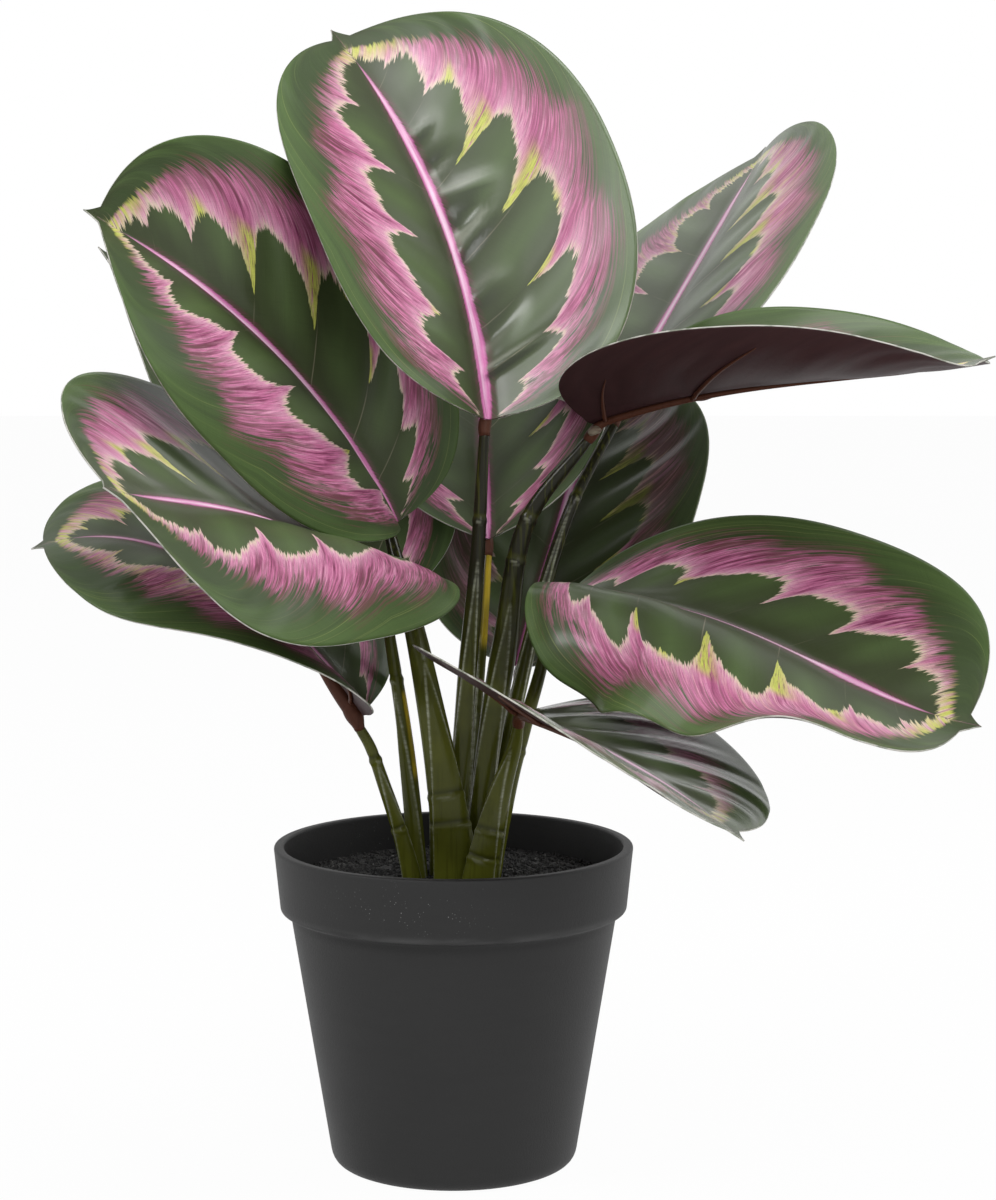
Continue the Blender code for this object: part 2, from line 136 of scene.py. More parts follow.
class Graph:
    """The nodes of a material or the world, and their expressions."""

    def __init__(self, owner: bpy.types.Material | bpy.types.World) -> None:
        """Clear the owner's nodes.

        Args:
            owner: The material or world.
        """
        owner.use_nodes = True
        self.tree = owner.node_tree
        self.tree.nodes.clear()

    def node(self, kind: str, settings: dict | None = None, sockets: dict | None = None) -> bpy.types.Node:
        """Add one node.

        Args:
            kind: The node's type.
            settings: Its properties, with "points" for a curve's points.
            sockets: Values or links by input name or number.

        Returns:
            The node.
        """
        node = self.tree.nodes.new(kind)
        for key, value in (settings or {}).items():
            if key == "points":
                curve = node.mapping.curves[0]
                while len(curve.points) < len(value):
                    curve.points.new(0.5, 0.5)
                for point, place in zip(curve.points, value):
                    point.location = place
                    point.handle_type = "VECTOR"
                node.mapping.update()
            else:
                setattr(node, key, value)
        self.fill(node, sockets or {})
        return node

    def fill(self, node: bpy.types.Node, sockets: dict) -> None:
        """Set or link a node's inputs by name or number.

        Args:
            node: The node.
            sockets: Numbers, colours or links by input name or number.
        """
        for key, value in sockets.items():
            if isinstance(value, Value):
                self.tree.links.new(value.socket, node.inputs[key])
            else:
                node.inputs[key].default_value = value

    def value(self, kind: str, settings: dict | None = None, sockets: dict | None = None,
              output: int | str = 0) -> Value:
        """Add one node and return one of its outputs."""
        return Value(self, self.node(kind, settings, sockets).outputs[output])

    def math(self, operation: str, *values: "Value | float") -> Value:
        """Apply one Math operation to values or numbers."""
        return self.value("ShaderNodeMath", {"operation": operation}, dict(enumerate(values)))

    def mix(self, factor: "Value | float", first: "Value | tuple", second: "Value | tuple") -> Value:
        """Mix two colours, from the first at factor 0 to the second at 1."""
        pair = [c if isinstance(c, Value) else (*c, 1.0) for c in (first, second)]
        return self.value("ShaderNodeMix", {"data_type": "RGBA"}, {0: factor, 6: pair[0], 7: pair[1]}, 2)

    def parts(self, vector: Value) -> tuple[Value, Value, Value]:
        """Split a vector into its three numbers."""
        node = self.node("ShaderNodeSeparateXYZ", None, {0: vector})
        return Value(self, node.outputs[0]), Value(self, node.outputs[1]), Value(self, node.outputs[2])

    def noise(self, vector: Value, scale: float, detail: float, rough: float) -> Value:
        """Return smooth noise from 0 to 1 at a vector."""
        return self.value("ShaderNodeTexNoise", {"noise_dimensions": "3D"},
                          {"Vector": vector, "Scale": scale, "Detail": detail, "Roughness": rough}, "Fac")

    def noise_at(self, x: "Value | float", y: "Value | float", z: "Value | float", detail: float,
                 rough: float) -> Value:
        """Return smooth noise from 0 to 1 at three numbers."""
        place = self.value("ShaderNodeCombineXYZ", None, {0: x, 1: y, 2: z})
        return self.noise(place, 1.0, detail, rough)

    def cells(self, vector: Value, scale: float) -> Value:
        """Return the distance to the nearest of scattered points."""
        return self.value("ShaderNodeTexVoronoi", {"feature": "F1"}, {"Vector": vector, "Scale": scale},
                          "Distance")

    def object_place(self) -> Value:
        """Return the place in the object's own metres."""
        return self.value("ShaderNodeTexCoord", output="Object")

    def map_place(self) -> Value:
        """Return the place in the piece's own UV map."""
        return self.value("ShaderNodeUVMap", {"uv_map": UV_MAP}, output="UV")

    def attribute(self, name: str) -> Value:
        """Return a number kept on the piece's points."""
        return self.value("ShaderNodeAttribute", {"attribute_name": name}, output="Fac")

    def curve(self, place: Value, points: list[tuple[float, float]]) -> Value:
        """Read a curve through given points at a place from 0 to 1."""
        return self.value("ShaderNodeFloatCurve", {"points": points}, {"Value": place})

    def seen_directly(self) -> Value:
        """Return 1 for rays from the camera, off a glossy surface or through glass, and 0 for the rest.

        Returns:
            The mask.
        """
        rays = self.node("ShaderNodeLightPath").outputs
        camera, glossy, through = (Value(self, rays[f"Is {kind} Ray"]) for kind in (
            "Camera", "Glossy", "Transmission"))
        return self.math("MAXIMUM", self.math("MAXIMUM", camera, glossy), through)


class Finish(Graph):
    """One Principled material."""

    def __init__(self, name: str) -> None:
        """Make the material with a plain Principled shader.

        Args:
            name: The material's name.
        """
        self.material = bpy.data.materials.new(name)
        super().__init__(self.material)
        self.shader = self.node("ShaderNodeBsdfPrincipled")
        self.surface = Value(self, self.shader.outputs[0])
        self.output = self.node("ShaderNodeOutputMaterial", None, {"Surface": self.surface})

    def finish(self, colour: Value, roughness: "Value | float", bump: Value | None = None,
               relief: float = 0.0, coat: "Value | float" = 0.0, **constants: float) -> bpy.types.Material:
        """Wire the surface and return the material.

        Args:
            colour: Base colour.
            roughness: Roughness.
            bump: Height from 0 to 1, or None for a plain surface.
            relief: The height's real size in metres.
            coat: Weight of the clear coat.
            constants: Other inputs by name with _ for a space.

        Returns:
            The finished material.
        """
        sockets = {"Base Color": colour, "Roughness": roughness, "Coat Weight": coat}
        sockets.update({name.replace("_", " "): value for name, value in constants.items()})
        if bump is not None:
            sockets["Normal"] = self.value("ShaderNodeBump", None, {
                "Height": bump, "Distance": relief, "Strength": 1.0})
        self.fill(self.shader, sockets)
        return self.material


def linear(red: int, green: int, blue: int) -> tuple[float, float, float]:
    """Turn a colour as a screen shows it, 0 to 255, into linear light."""
    return tuple(c / 12.92 if c <= 0.04045 else ((c + 0.055) / 1.055) ** 2.4
                 for c in (red / 255.0, green / 255.0, blue / 255.0))


# ---------------------------------------------------------------- finishes


# How far before the blade's foot a side vein may start, and how much the veins sweep on near the edge.
VEIN_ROOM = 0.2
VEIN_SWEEP = 0.28


@dataclass(frozen=True)
class BandHalf:
    """The pink band on one half of the print, in fractions of the blade's length and half width.

    inner: the feathered inner edge from foot to tip, lobe by lobe and tooth by tooth.
    outer: the ragged outer edge from foot to tip.
    teeth: where the teeth's tips lie, which is where the main side veins run.
    lean: how far a side vein runs towards the tip on its way out, straight part and cubic part.
    lime: side veins whose inner edge is lime green, as middle, half width and how far out the lime goes.
    """

    inner: tuple[tuple[float, float], ...]
    outer: tuple[tuple[float, float], ...]
    teeth: tuple[tuple[float, float], ...]
    lean: tuple[float, float]
    lime: tuple[tuple[float, float, float], ...]

    @staticmethod
    def oval(along: float) -> float:
        """Return the oval's half width at a place along the blade, as a share of the greatest."""
        return max(1.0 - abs(2.0 * along / OVAL_END - 1.0) ** OUTLINE_POWER, 0.02) ** (1.0 / OUTLINE_POWER)

    def foot_of_vein(self, along: float, out: float) -> float:
        """Return where a place's side vein leaves the midline; LeafPrint.vein_place says the same.

        Args:
            along: Place along the blade.
            out: Distance from the midline over the greatest half width.

        Returns:
            The place along the midline.
        """
        edge = min(out / (self.oval(along) + 0.02), 1.0)
        grip = min(max(0.3 + 1.8 * along, 0.0), 1.0)
        return along - grip * (self.lean[0] * edge + self.lean[1] * edge ** 3 + VEIN_SWEEP * edge ** 8)

    def vein_share(self, along: float, out: float) -> float:
        """Return a place's side vein from 0, VEIN_ROOM before the foot, to 1 at the tip."""
        return (self.foot_of_vein(along, out) + VEIN_ROOM) / (1.0 + VEIN_ROOM)

    def along_veins(self, points: tuple[tuple[float, float], ...]) -> list[tuple[float, float]]:
        """Restate points by their side veins, keeping them in order, with room below the midline's foot.

        Args:
            points: Places as along and out.

        Returns:
            Pairs of vein place, from VEIN_ROOM before the foot to the tip as 0 to 1, and distance out.
        """
        pairs, last = [], -1.0
        for along, out in points:
            last = max(self.vein_share(along, out), last + 0.0025)
            pairs.append((last, out))
        return [(0.0, points[0][1])] + pairs + [(1.0, points[-1][1])]

    def between_teeth(self) -> list[tuple[float, float]]:
        """List how far a place is from the main side veins, 0 on a tooth's vein and 1 halfway between.

        Returns:
            Pairs of vein place and distance.
        """
        places = [self.vein_share(*tooth) for tooth in self.teeth]
        points = [(0.0, 0.6), (places[0] - 0.05, 0.8)]
        for place, after in zip(places, places[1:] + [1.0]):
            points += [(place - 0.003, 0.15), (place, 0.0), (place + 0.003, 0.15)]
            points += [(0.5 * (place + after), 1.0)]
        return points + [(1.0, 0.5)]


LEFT_BAND = BandHalf(
    inner=((0.012, 0.06), (0.03, 0.14), (0.055, 0.22), (0.085, 0.27), (0.092, 0.22), (0.100, 0.165),
           (0.110, 0.27), (0.135, 0.42), (0.165, 0.44), (0.200, 0.44), (0.216, 0.41), (0.226, 0.33),
           (0.226, 0.25), (0.240, 0.33), (0.275, 0.39), (0.320, 0.44), (0.365, 0.49), (0.405, 0.51),
           (0.428, 0.49), (0.436, 0.40), (0.424, 0.27), (0.462, 0.40), (0.490, 0.46), (0.530, 0.475),
           (0.575, 0.48), (0.602, 0.47), (0.615, 0.40), (0.600, 0.24), (0.635, 0.34), (0.680, 0.37),
           (0.735, 0.43), (0.775, 0.42), (0.800, 0.36), (0.802, 0.30), (0.784, 0.235), (0.815, 0.27),
           (0.855, 0.25), (0.885, 0.19), (0.905, 0.11), (0.916, -0.02)),
    outer=((0.01, 0.10), (0.03, 0.26), (0.055, 0.40), (0.09, 0.54), (0.14, 0.66), (0.20, 0.71), (0.25, 0.77),
           (0.31, 0.81), (0.37, 0.77), (0.44, 0.82), (0.51, 0.87), (0.56, 0.81), (0.61, 0.73), (0.70, 0.73),
           (0.76, 0.60), (0.82, 0.51), (0.87, 0.40), (0.915, 0.24), (0.945, 0.10), (0.957, -0.03)),
    teeth=((0.100, 0.165), (0.226, 0.25), (0.424, 0.27), (0.600, 0.24), (0.784, 0.235)),
    lean=(0.20, 0.12), lime=((0.183, 0.010, 0.33),))
RIGHT_BAND = BandHalf(
    inner=((0.010, 0.07), (0.030, 0.16), (0.050, 0.21), (0.066, 0.25), (0.073, 0.19), (0.090, 0.28),
           (0.118, 0.38), (0.150, 0.46), (0.158, 0.42), (0.165, 0.36), (0.195, 0.46), (0.240, 0.53),
           (0.275, 0.58), (0.310, 0.63), (0.326, 0.58), (0.276, 0.33), (0.335, 0.51), (0.365, 0.57),
           (0.400, 0.60), (0.455, 0.61), (0.492, 0.62), (0.502, 0.56), (0.486, 0.46), (0.434, 0.29),
           (0.478, 0.37), (0.505, 0.43), (0.545, 0.49), (0.580, 0.52), (0.620, 0.55), (0.655, 0.56),
           (0.664, 0.50), (0.636, 0.36), (0.594, 0.19), (0.640, 0.29), (0.672, 0.35), (0.705, 0.36),
           (0.740, 0.39), (0.772, 0.40), (0.788, 0.34), (0.786, 0.26), (0.762, 0.19), (0.800, 0.26),
           (0.850, 0.275), (0.882, 0.24), (0.888, 0.18), (0.872, 0.13), (0.905, 0.13), (0.916, -0.02)),
    outer=((0.01, 0.11), (0.035, 0.26), (0.06, 0.38), (0.10, 0.51), (0.15, 0.61), (0.20, 0.69), (0.25, 0.78),
           (0.31, 0.86), (0.37, 0.87), (0.45, 0.82), (0.53, 0.87), (0.60, 0.90), (0.66, 0.82), (0.72, 0.80),
           (0.77, 0.76), (0.81, 0.66), (0.86, 0.58), (0.89, 0.46), (0.92, 0.30), (0.94, 0.18),
           (0.957, -0.03)),
    teeth=((0.165, 0.36), (0.276, 0.33), (0.434, 0.29), (0.594, 0.19), (0.762, 0.19), (0.872, 0.13)),
    lean=(0.26, 0.08), lime=((0.367, 0.026, 0.60), (0.545, 0.034, 0.47), (0.262, 0.022, 0.62),
                            (0.203, 0.008, 0.50), (0.670, 0.015, 0.42)))
# Half width of the pink midline by place along the blade.
MIDLINE_WIDTHS = [(0.0, 0.030), (0.04, 0.040), (0.14, 0.044), (0.40, 0.032), (0.55, 0.036), (0.68, 0.034),
                  (0.80, 0.021), (0.88, 0.009), (0.915, 0.0), (1.0, 0.0)]


@dataclass(frozen=True)
class LeafPrint:
    """The print on a blade's upper side: dark feathered centre, streaked pink band, green margin.

    seed: which streaks the leaf has.
    fade: how much painted shade lies on the leaf: the band weakens and the whole print darkens towards the
    shadow colour.
    gloss: weight of the clear coat on the left and the right half.
    sour: how far lime green spreads into the band's tip.
    creased: whether crumpled folds get a painted highlight on their sides that face the tip and painted
    shade on those that face the foot.
    slim: how much narrower the pink midline is near its foot.
    """

    seed: float = 0.0
    fade: float = 0.0
    gloss: tuple[float, float] = (0.0, 0.0)
    sour: float = 0.0
    creased: bool = False
    slim: float = 0.0
    centre: tuple = linear(57, 66, 39)
    centre_glow: tuple = linear(80, 100, 56)
    margin: tuple = linear(82, 106, 55)
    margin_dark: tuple = linear(56, 72, 38)
    pink: tuple = linear(206, 116, 160)
    pink_pale: tuple = linear(240, 190, 210)
    magenta: tuple = linear(124, 46, 84)
    cream: tuple = linear(226, 212, 184)
    lime: tuple = linear(204, 212, 92)
    midrib: tuple = linear(212, 122, 178)
    midrib_pale: tuple = linear(250, 214, 236)
    # Colour of the midline's dark outline, which also stands for painted shade in its groove.
    midrib_outline_and_shade: tuple = linear(108, 58, 76)
    olive: tuple = linear(84, 78, 48)
    thread: tuple = linear(140, 152, 86)
    shadow: tuple = linear(26, 30, 20)
    # Colour of the painted highlight on crumpled folds.
    painted_crease_highlight: tuple = linear(176, 180, 166)

    def half_width(self, graph: Graph, along: Value) -> Value:
        """Return the oval's half width along the blade, as a share of the greatest."""
        level = abs(2.0 * along / OVAL_END - 1.0)
        return (1.0 - graph.math("MINIMUM", level, 0.999) ** OUTLINE_POWER) ** (1.0 / OUTLINE_POWER)

    def vein_place(self, along: Value, edge: Value, band: BandHalf) -> Value:
        """Return where a place's side vein leaves the midline: along, less its lean on the way out.

        Args:
            along: Place along the blade.
            edge: Distance from the midline over the local half width.
            band: The half of the print.

        Returns:
            The place along the midline.
        """
        grip = (0.3 + 1.8 * along).clamped()
        square = edge * edge
        fourth = square * square
        lean = band.lean[0] * edge + band.lean[1] * edge * square
        return along - grip * (lean + VEIN_SWEEP * fourth * fourth)

    def masks(self, graph: Graph, along: Value, out: Value, edge: Value,
              on_right: Value) -> dict[str, Value]:
        """Work out the band on the half that a place is on.

        Args:
            graph: The material.
            along: Place along the blade.
            out: Distance from the midline over the greatest half width.
            edge: Distance from the midline over the local half width.
            on_right: 1 on the right half and 0 on the left.

        Returns:
            The vein place, the streak noises and the masks by name.
        """
        def pick(read: Callable[[BandHalf], Value]) -> Value:
            """Read both halves of the band and choose the one that the place is on."""
            left, right = read(LEFT_BAND), read(RIGHT_BAND)
            return left + (right - left) * on_right

        def lime(band: BandHalf) -> Value:
            """Add up the half's lime green veins."""
            first, *others = [vein.bell(middle, half) * out.step(reach + 0.05, reach - 0.03)
                              for middle, half, reach in band.lime]
            return sum(others, first)

        vein = pick(lambda band: self.vein_place(along, edge, band))
        place = (vein + VEIN_ROOM) / (1.0 + VEIN_ROOM)
        shift = self.seed + 31.0 * on_right
        streaks = graph.noise_at(vein * 130.0, out * 5.5, shift, 3.0, 0.62)
        fine = graph.noise_at(vein * 460.0, out * 14.0, shift + 7.0, 2.0, 0.5)
        broad = graph.noise_at(vein * 62.0, out * 2.4, shift + 5.0, 2.0, 0.55)
        drift = graph.noise_at(vein * 14.0, out * 3.0, shift + 3.0, 2.0, 0.5)
        inner = pick(lambda band: graph.curve(place, band.along_veins(band.inner)))
        inner = inner + (streaks - 0.5) * 0.12 + (fine - 0.5) * 0.06 + (broad - 0.5) * 0.06
        outer = pick(lambda band: graph.curve(along, [(0.0, 0.06), *band.outer, (1.0, -0.05)]))
        ragged = (streaks - 0.5) * 0.60 + (broad - 0.5) * 0.45
        outer = outer + ragged * (0.3 + 0.7 * along.step(0.97, 0.88))
        past_inner = out.step(inner - 0.006, inner + 0.010)
        before_outer = out.step(outer + 0.035, outer - 0.055)
        between = pick(lambda band: graph.curve(place, band.between_teeth()))
        return {"vein": vein, "streaks": streaks, "fine": fine, "broad": broad, "drift": drift,
                "band": past_inner * before_outer, "past": out - inner, "room": outer - out,
                "lime": pick(lime).clamped(), "between": between, "right": on_right}

    def colour(self, graph: Graph, masks: dict[str, Value], along: Value, out: Value,
               edge: Value) -> Value:
        """Paint the centre, the band and the margin.

        Args:
            graph: The material.
            masks: The masks at the place.
            along: Place along the blade.
            out: Distance from the midline.
            edge: Distance from the midline over the local half width.

        Returns:
            The colour.
        """
        streaks, fine, broad, drift = (masks[key] for key in ("streaks", "fine", "broad", "drift"))
        past, room, between = masks["past"], masks["room"], masks["between"]
        glow = between * out.step(0.06, 0.3) * 0.75 + (drift - 0.5) * 0.7
        centre = graph.mix(glow.clamped(), self.centre, self.centre_glow)
        hidden_vein = between.step(0.10, 0.0) * past.step(0.0, -0.12) * broad.step(0.35, 0.6)
        centre = graph.mix(hidden_vein * 0.22, centre, self.cream)
        light = edge.step(0.72, 0.98) * 0.75 + (drift - 0.5) * 1.1 + (broad - 0.5) * 0.5
        margin = graph.mix(light.clamped(), self.margin_dark, self.margin)
        threads = graph.noise_at(masks["vein"] * 95.0, edge * 1.5, self.seed + 11.0, 1.0, 0.4)
        margin = graph.mix(threads.step(0.66, 0.76) * edge.step(0.72, 0.86) * 0.5, margin, self.thread)
        field = graph.mix(past.step(-0.02, 0.10), centre, margin)
        dark = streaks.step(0.44, 0.64) * 0.75 + fine.step(0.46, 0.70) * 0.45 + broad.step(0.50, 0.66) * 0.45
        dark = dark * (0.35 + 0.65 * past.step(0.0, 0.2)) * (0.65 + 0.9 * drift - 0.35 * masks["right"])
        pink = graph.mix(dark.clamped(), self.pink, self.magenta)
        pale = past.step(0.15, 0.0) * 0.8 + broad.step(0.50, 0.36) * 0.3 + streaks.step(0.46, 0.30) * 0.55
        pink = graph.mix((pale * fine.step(0.72, 0.35)).clamped(), pink, self.pink_pale)
        olive = room.step(0.32, -0.02) * streaks.step(0.42, 0.60)
        olive = olive + broad.step(0.56, 0.70) * room.step(0.5, 0.1) * 0.6
        pink = graph.mix((olive * 0.9).clamped(), pink, self.olive)
        fringe = past.step(0.05, 0.008) * fine.step(0.70, 0.40)
        pink = graph.mix((fringe * 0.9).clamped(), pink, self.cream)
        limed = masks["lime"] * streaks.step(0.68, 0.52)
        if self.sour:
            sour = broad.step(0.55, 0.42) * past.step(0.30, 0.02) * along.step(0.3, 0.7) * self.sour
            limed = graph.math("MAXIMUM", limed, sour * streaks.step(0.60, 0.44))
        limes = graph.mix(fine.step(0.48, 0.75), self.lime, self.olive)
        pink = graph.mix((limed * 0.95).clamped(), pink, limes)
        near_tip = along.step(0.885, 0.945) * broad.step(0.62, 0.40)
        pink = graph.mix((near_tip * 0.9).clamped(), pink, self.lime)
        # Painted shade weakens the pink band in broad streaks.
        kept = 1.0 - self.fade * (0.4 + 0.9 * broad.step(0.35, 0.6)).clamped()
        return graph.mix(masks["band"] * kept, field, pink)

    def material(self, name: str) -> bpy.types.Material:
        """Build the printed fabric.

        Args:
            name: The material's name.

        Returns:
            The material.
        """
        graph = Finish(name)
        along, across, _ = graph.parts(graph.map_place())
        across = across * 2.0 - 1.0
        out = abs(across)
        edge = out / (self.half_width(graph, along) + 0.02)
        masks = self.masks(graph, along, out, edge, across > 0.0)
        colour = self.colour(graph, masks, along, out, edge)
        hair = graph.noise_at(along * 190.0 + out * 90.0, across * 5.0, self.seed, 3.0, 0.7)
        rib_half = graph.curve(along, MIDLINE_WIDTHS)
        if self.slim:
            rib_half = rib_half * (1.0 - self.slim * along.step(0.74, 0.56))
        rib_half = rib_half + (hair - 0.5) * 0.022 * along.step(0.9, 0.8)
        rib = out.step(rib_half + 0.004, rib_half - 0.004)
        # A dark line beside the pink midline: partly the print's outline, partly painted shade in the groove
        # beside the raised midline.
        groove = out.step(rib_half + 0.045, rib_half) * hair.step(0.3, 0.65)
        colour = graph.mix(groove * 0.7 * along.step(0.90, 0.82), colour, self.midrib_outline_and_shade)
        blush = graph.noise_at(along * 9.0, across * 60.0, self.seed + 2.0, 2.0, 0.5)
        core = out.step(0.028, 0.0) * (0.25 + 0.75 * along.bell(0.45, 0.4)) + (blush - 0.5) * 1.6
        ribbed = graph.mix(core.clamped(), self.midrib, self.midrib_pale)
        ribbed = graph.mix(out.step(rib_half - 0.014, rib_half) * 0.65, ribbed, self.magenta)
        colour = graph.mix(rib, colour, ribbed)
        # Painted highlight on fold sides that face the tip and painted shade on fold sides that face the
        # foot.
        if self.creased:
            crumple = graph.attribute("crumple") + (masks["drift"] - 0.5) * 0.1
            colour = graph.mix(crumple.step(-0.04, -0.75) * 0.45, colour, self.painted_crease_highlight)
            colour = graph.mix(crumple.step(0.06, 0.60) * 0.6, colour, self.shadow)
        weave = graph.noise_at(along * 900.0, across * 330.0, self.seed, 1.0, 0.5)
        # Weave and hair streaks darken the fabric, and painted shade darkens the whole leaf towards the
        # shadow colour.
        colour = graph.mix(weave.step(0.46, 0.72) * 0.22 + hair.step(0.5, 0.75) * 0.12 + 0.4 * self.fade,
                           colour, self.shadow)
        roughness = 0.40 + 0.12 * weave + 0.08 * masks["drift"]
        left, right = self.gloss
        coat = left if left == right else left + (right - left) * across.step(-0.03, 0.12) * (
            along.step(1.0, 0.75) * (0.45 + 0.55 * along.step(0.05, 0.35)))
        return graph.finish(colour, roughness, masks["streaks"] * 0.6 + weave * 0.4, 0.12 * MM, coat=coat,
                            Specular_IOR_Level=0.17, Coat_Roughness=0.23)


@dataclass(frozen=True)
class Underside:
    """The maroon underside of a blade."""

    maroon: tuple = linear(70, 44, 45)
    dark: tuple = linear(48, 29, 32)

    def material(self, name: str) -> bpy.types.Material:
        """Build the maroon fabric with its fine grain.

        Args:
            name: The material's name.

        Returns:
            The material.
        """
        graph = Finish(name)
        along, across, _ = graph.parts(graph.map_place())
        out = abs(across * 2.0 - 1.0)
        vein = along - (0.16 * out + 0.2 * out * out * out)
        soft = graph.noise_at(vein * 30.0, out * 4.0, 0.0, 2.0, 0.5)
        grain = graph.noise(graph.object_place(), 2600.0, 2.0, 0.6)
        colour = graph.mix((soft * 0.8 + grain * 0.3 - 0.1).clamped(), self.dark, self.maroon)
        return graph.finish(colour, 0.5 + 0.12 * grain, soft * 0.7 + grain * 0.3, 0.15 * MM,
                            Specular_IOR_Level=0.25)


@dataclass(frozen=True)
class CutEdge:
    """The pale cut edge of the fabric."""

    pale: tuple = linear(200, 198, 190)
    stained: tuple = linear(128, 134, 118)

    def material(self, name: str) -> bpy.types.Material:
        """Build the pale edge with its stained stretches.

        Args:
            name: The material's name.

        Returns:
            The material.
        """
        graph = Finish(name)
        spots = graph.noise(graph.object_place(), 160.0, 3.0, 0.6)
        return graph.finish(graph.mix(spots.step(0.42, 0.66), self.pale, self.stained), 0.7)


@dataclass(frozen=True)
class Moulded:
    """Glossy moulded plastic whose colour shifts with height, with pale flash lines and painted shade in the
    grooves above node rings.

    height_range: the heights in metres of the low and the high colour.
    """

    low: tuple
    high: tuple
    flash: tuple = linear(196, 200, 176)
    amber: tuple = linear(208, 180, 50)
    roughness: float = 0.3
    height_range: tuple = (0.1, 0.2)

    def material(self, name: str) -> bpy.types.Material:
        """Build the plastic.

        Args:
            name: The material's name.

        Returns:
            The material.
        """
        graph = Finish(name)
        place = graph.object_place()
        x, y, z = graph.parts(place)
        cloud = graph.noise(place, 60.0, 3.0, 0.55)
        long_streaks = graph.noise_at(x * 900.0, y * 900.0, z * 35.0, 2.0, 0.6)
        part = (z - self.height_range[0]) / (self.height_range[1] - self.height_range[0])
        colour = graph.mix((part + (cloud - 0.5) * 0.7).clamped(), self.low, self.high)
        colour = graph.mix(long_streaks.step(0.5, 0.72) * 0.55, colour, tuple(c * 0.55 for c in self.low))
        scratches = graph.noise_at(x * 200.0, y * 200.0, z * 900.0, 2.0, 0.6)
        flash = graph.attribute("flash")
        # Below 0 the flash mark is painted shade in the groove above a node ring.
        colour = graph.mix((-flash).clamped(), colour, tuple(c * 0.3 for c in self.low))
        colour = graph.mix(graph.attribute("amber") * (0.5 + 0.5 * cloud.step(0.3, 0.6)), colour, self.amber)
        lit = (flash * (0.40 + 0.9 * scratches.step(0.3, 0.7))).clamped()
        colour = graph.mix(lit * 0.9, colour, self.flash)
        roughness = self.roughness + 0.14 * cloud + 0.25 * lit
        return graph.finish(colour, roughness, long_streaks * 0.6 + scratches * 0.4, 0.10 * MM,
                            Specular_IOR_Level=0.18)


@dataclass(frozen=True)
class Grains:
    """Loose black grains with pale specks of glue."""

    black: tuple = linear(38, 38, 38)
    grey: tuple = linear(98, 97, 95)
    speck: tuple = linear(150, 150, 146)

    def material(self, name: str) -> bpy.types.Material:
        """Build the grains' surface.

        Args:
            name: The material's name.

        Returns:
            The material.
        """
        graph = Finish(name)
        place = graph.object_place()
        tone = graph.noise(place, 520.0, 3.0, 0.6)
        pit = graph.noise(place, 2400.0, 2.0, 0.6)
        spots = graph.noise(place, 300.0, 1.0, 0.5).step(0.70, 0.75)
        colour = graph.mix(tone.step(0.45, 0.78) * 0.8, self.black, self.grey)
        colour = graph.mix(spots * 0.8, colour, self.speck)
        return graph.finish(colour, 0.8 + 0.15 * pit, pit * 0.6 + tone * 0.4, 0.4 * MM)


@dataclass(frozen=True)
class PotPlastic:
    """Charcoal plastic with a fine matt grain, a few specks of dust, and a painted highlight and painted
    shadow at the rim band's foot.

    band_foot: height in metres of the rim band's lower edge, which carries a painted highlight, with a
    painted shadow in the undercut below it.
    """

    charcoal: tuple = linear(32, 32, 32)
    worn: tuple = linear(47, 47, 47)
    dust: tuple = linear(150, 150, 150)
    # Colours of the painted highlight on the band's lower edge and of the painted shadow below it.
    edge: tuple = linear(74, 74, 74)
    undercut: tuple = linear(18, 18, 18)
    band_foot: float = 0.0865

    def material(self, name: str) -> bpy.types.Material:
        """Build the pot's plastic.

        Args:
            name: The material's name.

        Returns:
            The material.
        """
        graph = Finish(name)
        place = graph.object_place()
        x, y, z = graph.parts(place)
        grain = graph.noise(place, 1500.0, 3.0, 0.62)
        cloud = graph.noise(place, 28.0, 3.0, 0.5)
        tone_and_highlight_noise = graph.noise_at(x * 40.0, y * 40.0, z * 260.0, 2.0, 0.6)
        colour = graph.mix((cloud * 0.5 + grain * 0.35 + tone_and_highlight_noise * 0.25 - 0.3).clamped(),
                           self.charcoal, self.worn)
        # Painted highlight along the band's lower edge, broken up by noise, and painted shadow in the
        # undercut below it.
        edge = z.bell(self.band_foot + 0.0008, 0.0012) * tone_and_highlight_noise.step(0.25, 0.6)
        colour = graph.mix(edge * 0.65, colour, self.edge)
        colour = graph.mix(z.bell(self.band_foot - 0.0022, 0.0018) * 0.6, colour, self.undercut)
        patch = x.bell(-0.012, 0.02) * z.bell(0.098, 0.007)
        speck = graph.cells(place, 1100.0).step(0.22, 0.12)
        speck = speck * graph.noise(place, 260.0, 2.0, 0.6).step(0.5, 0.66)
        colour = graph.mix((speck * patch).clamped(), colour, self.dust)
        roughness = 0.50 + 0.16 * grain + 0.10 * (cloud - 0.5)
        return graph.finish(colour, roughness, grain, 0.10 * MM, Specular_IOR_Level=0.34)


# ---------------------------------------------------------------- mesh helpers


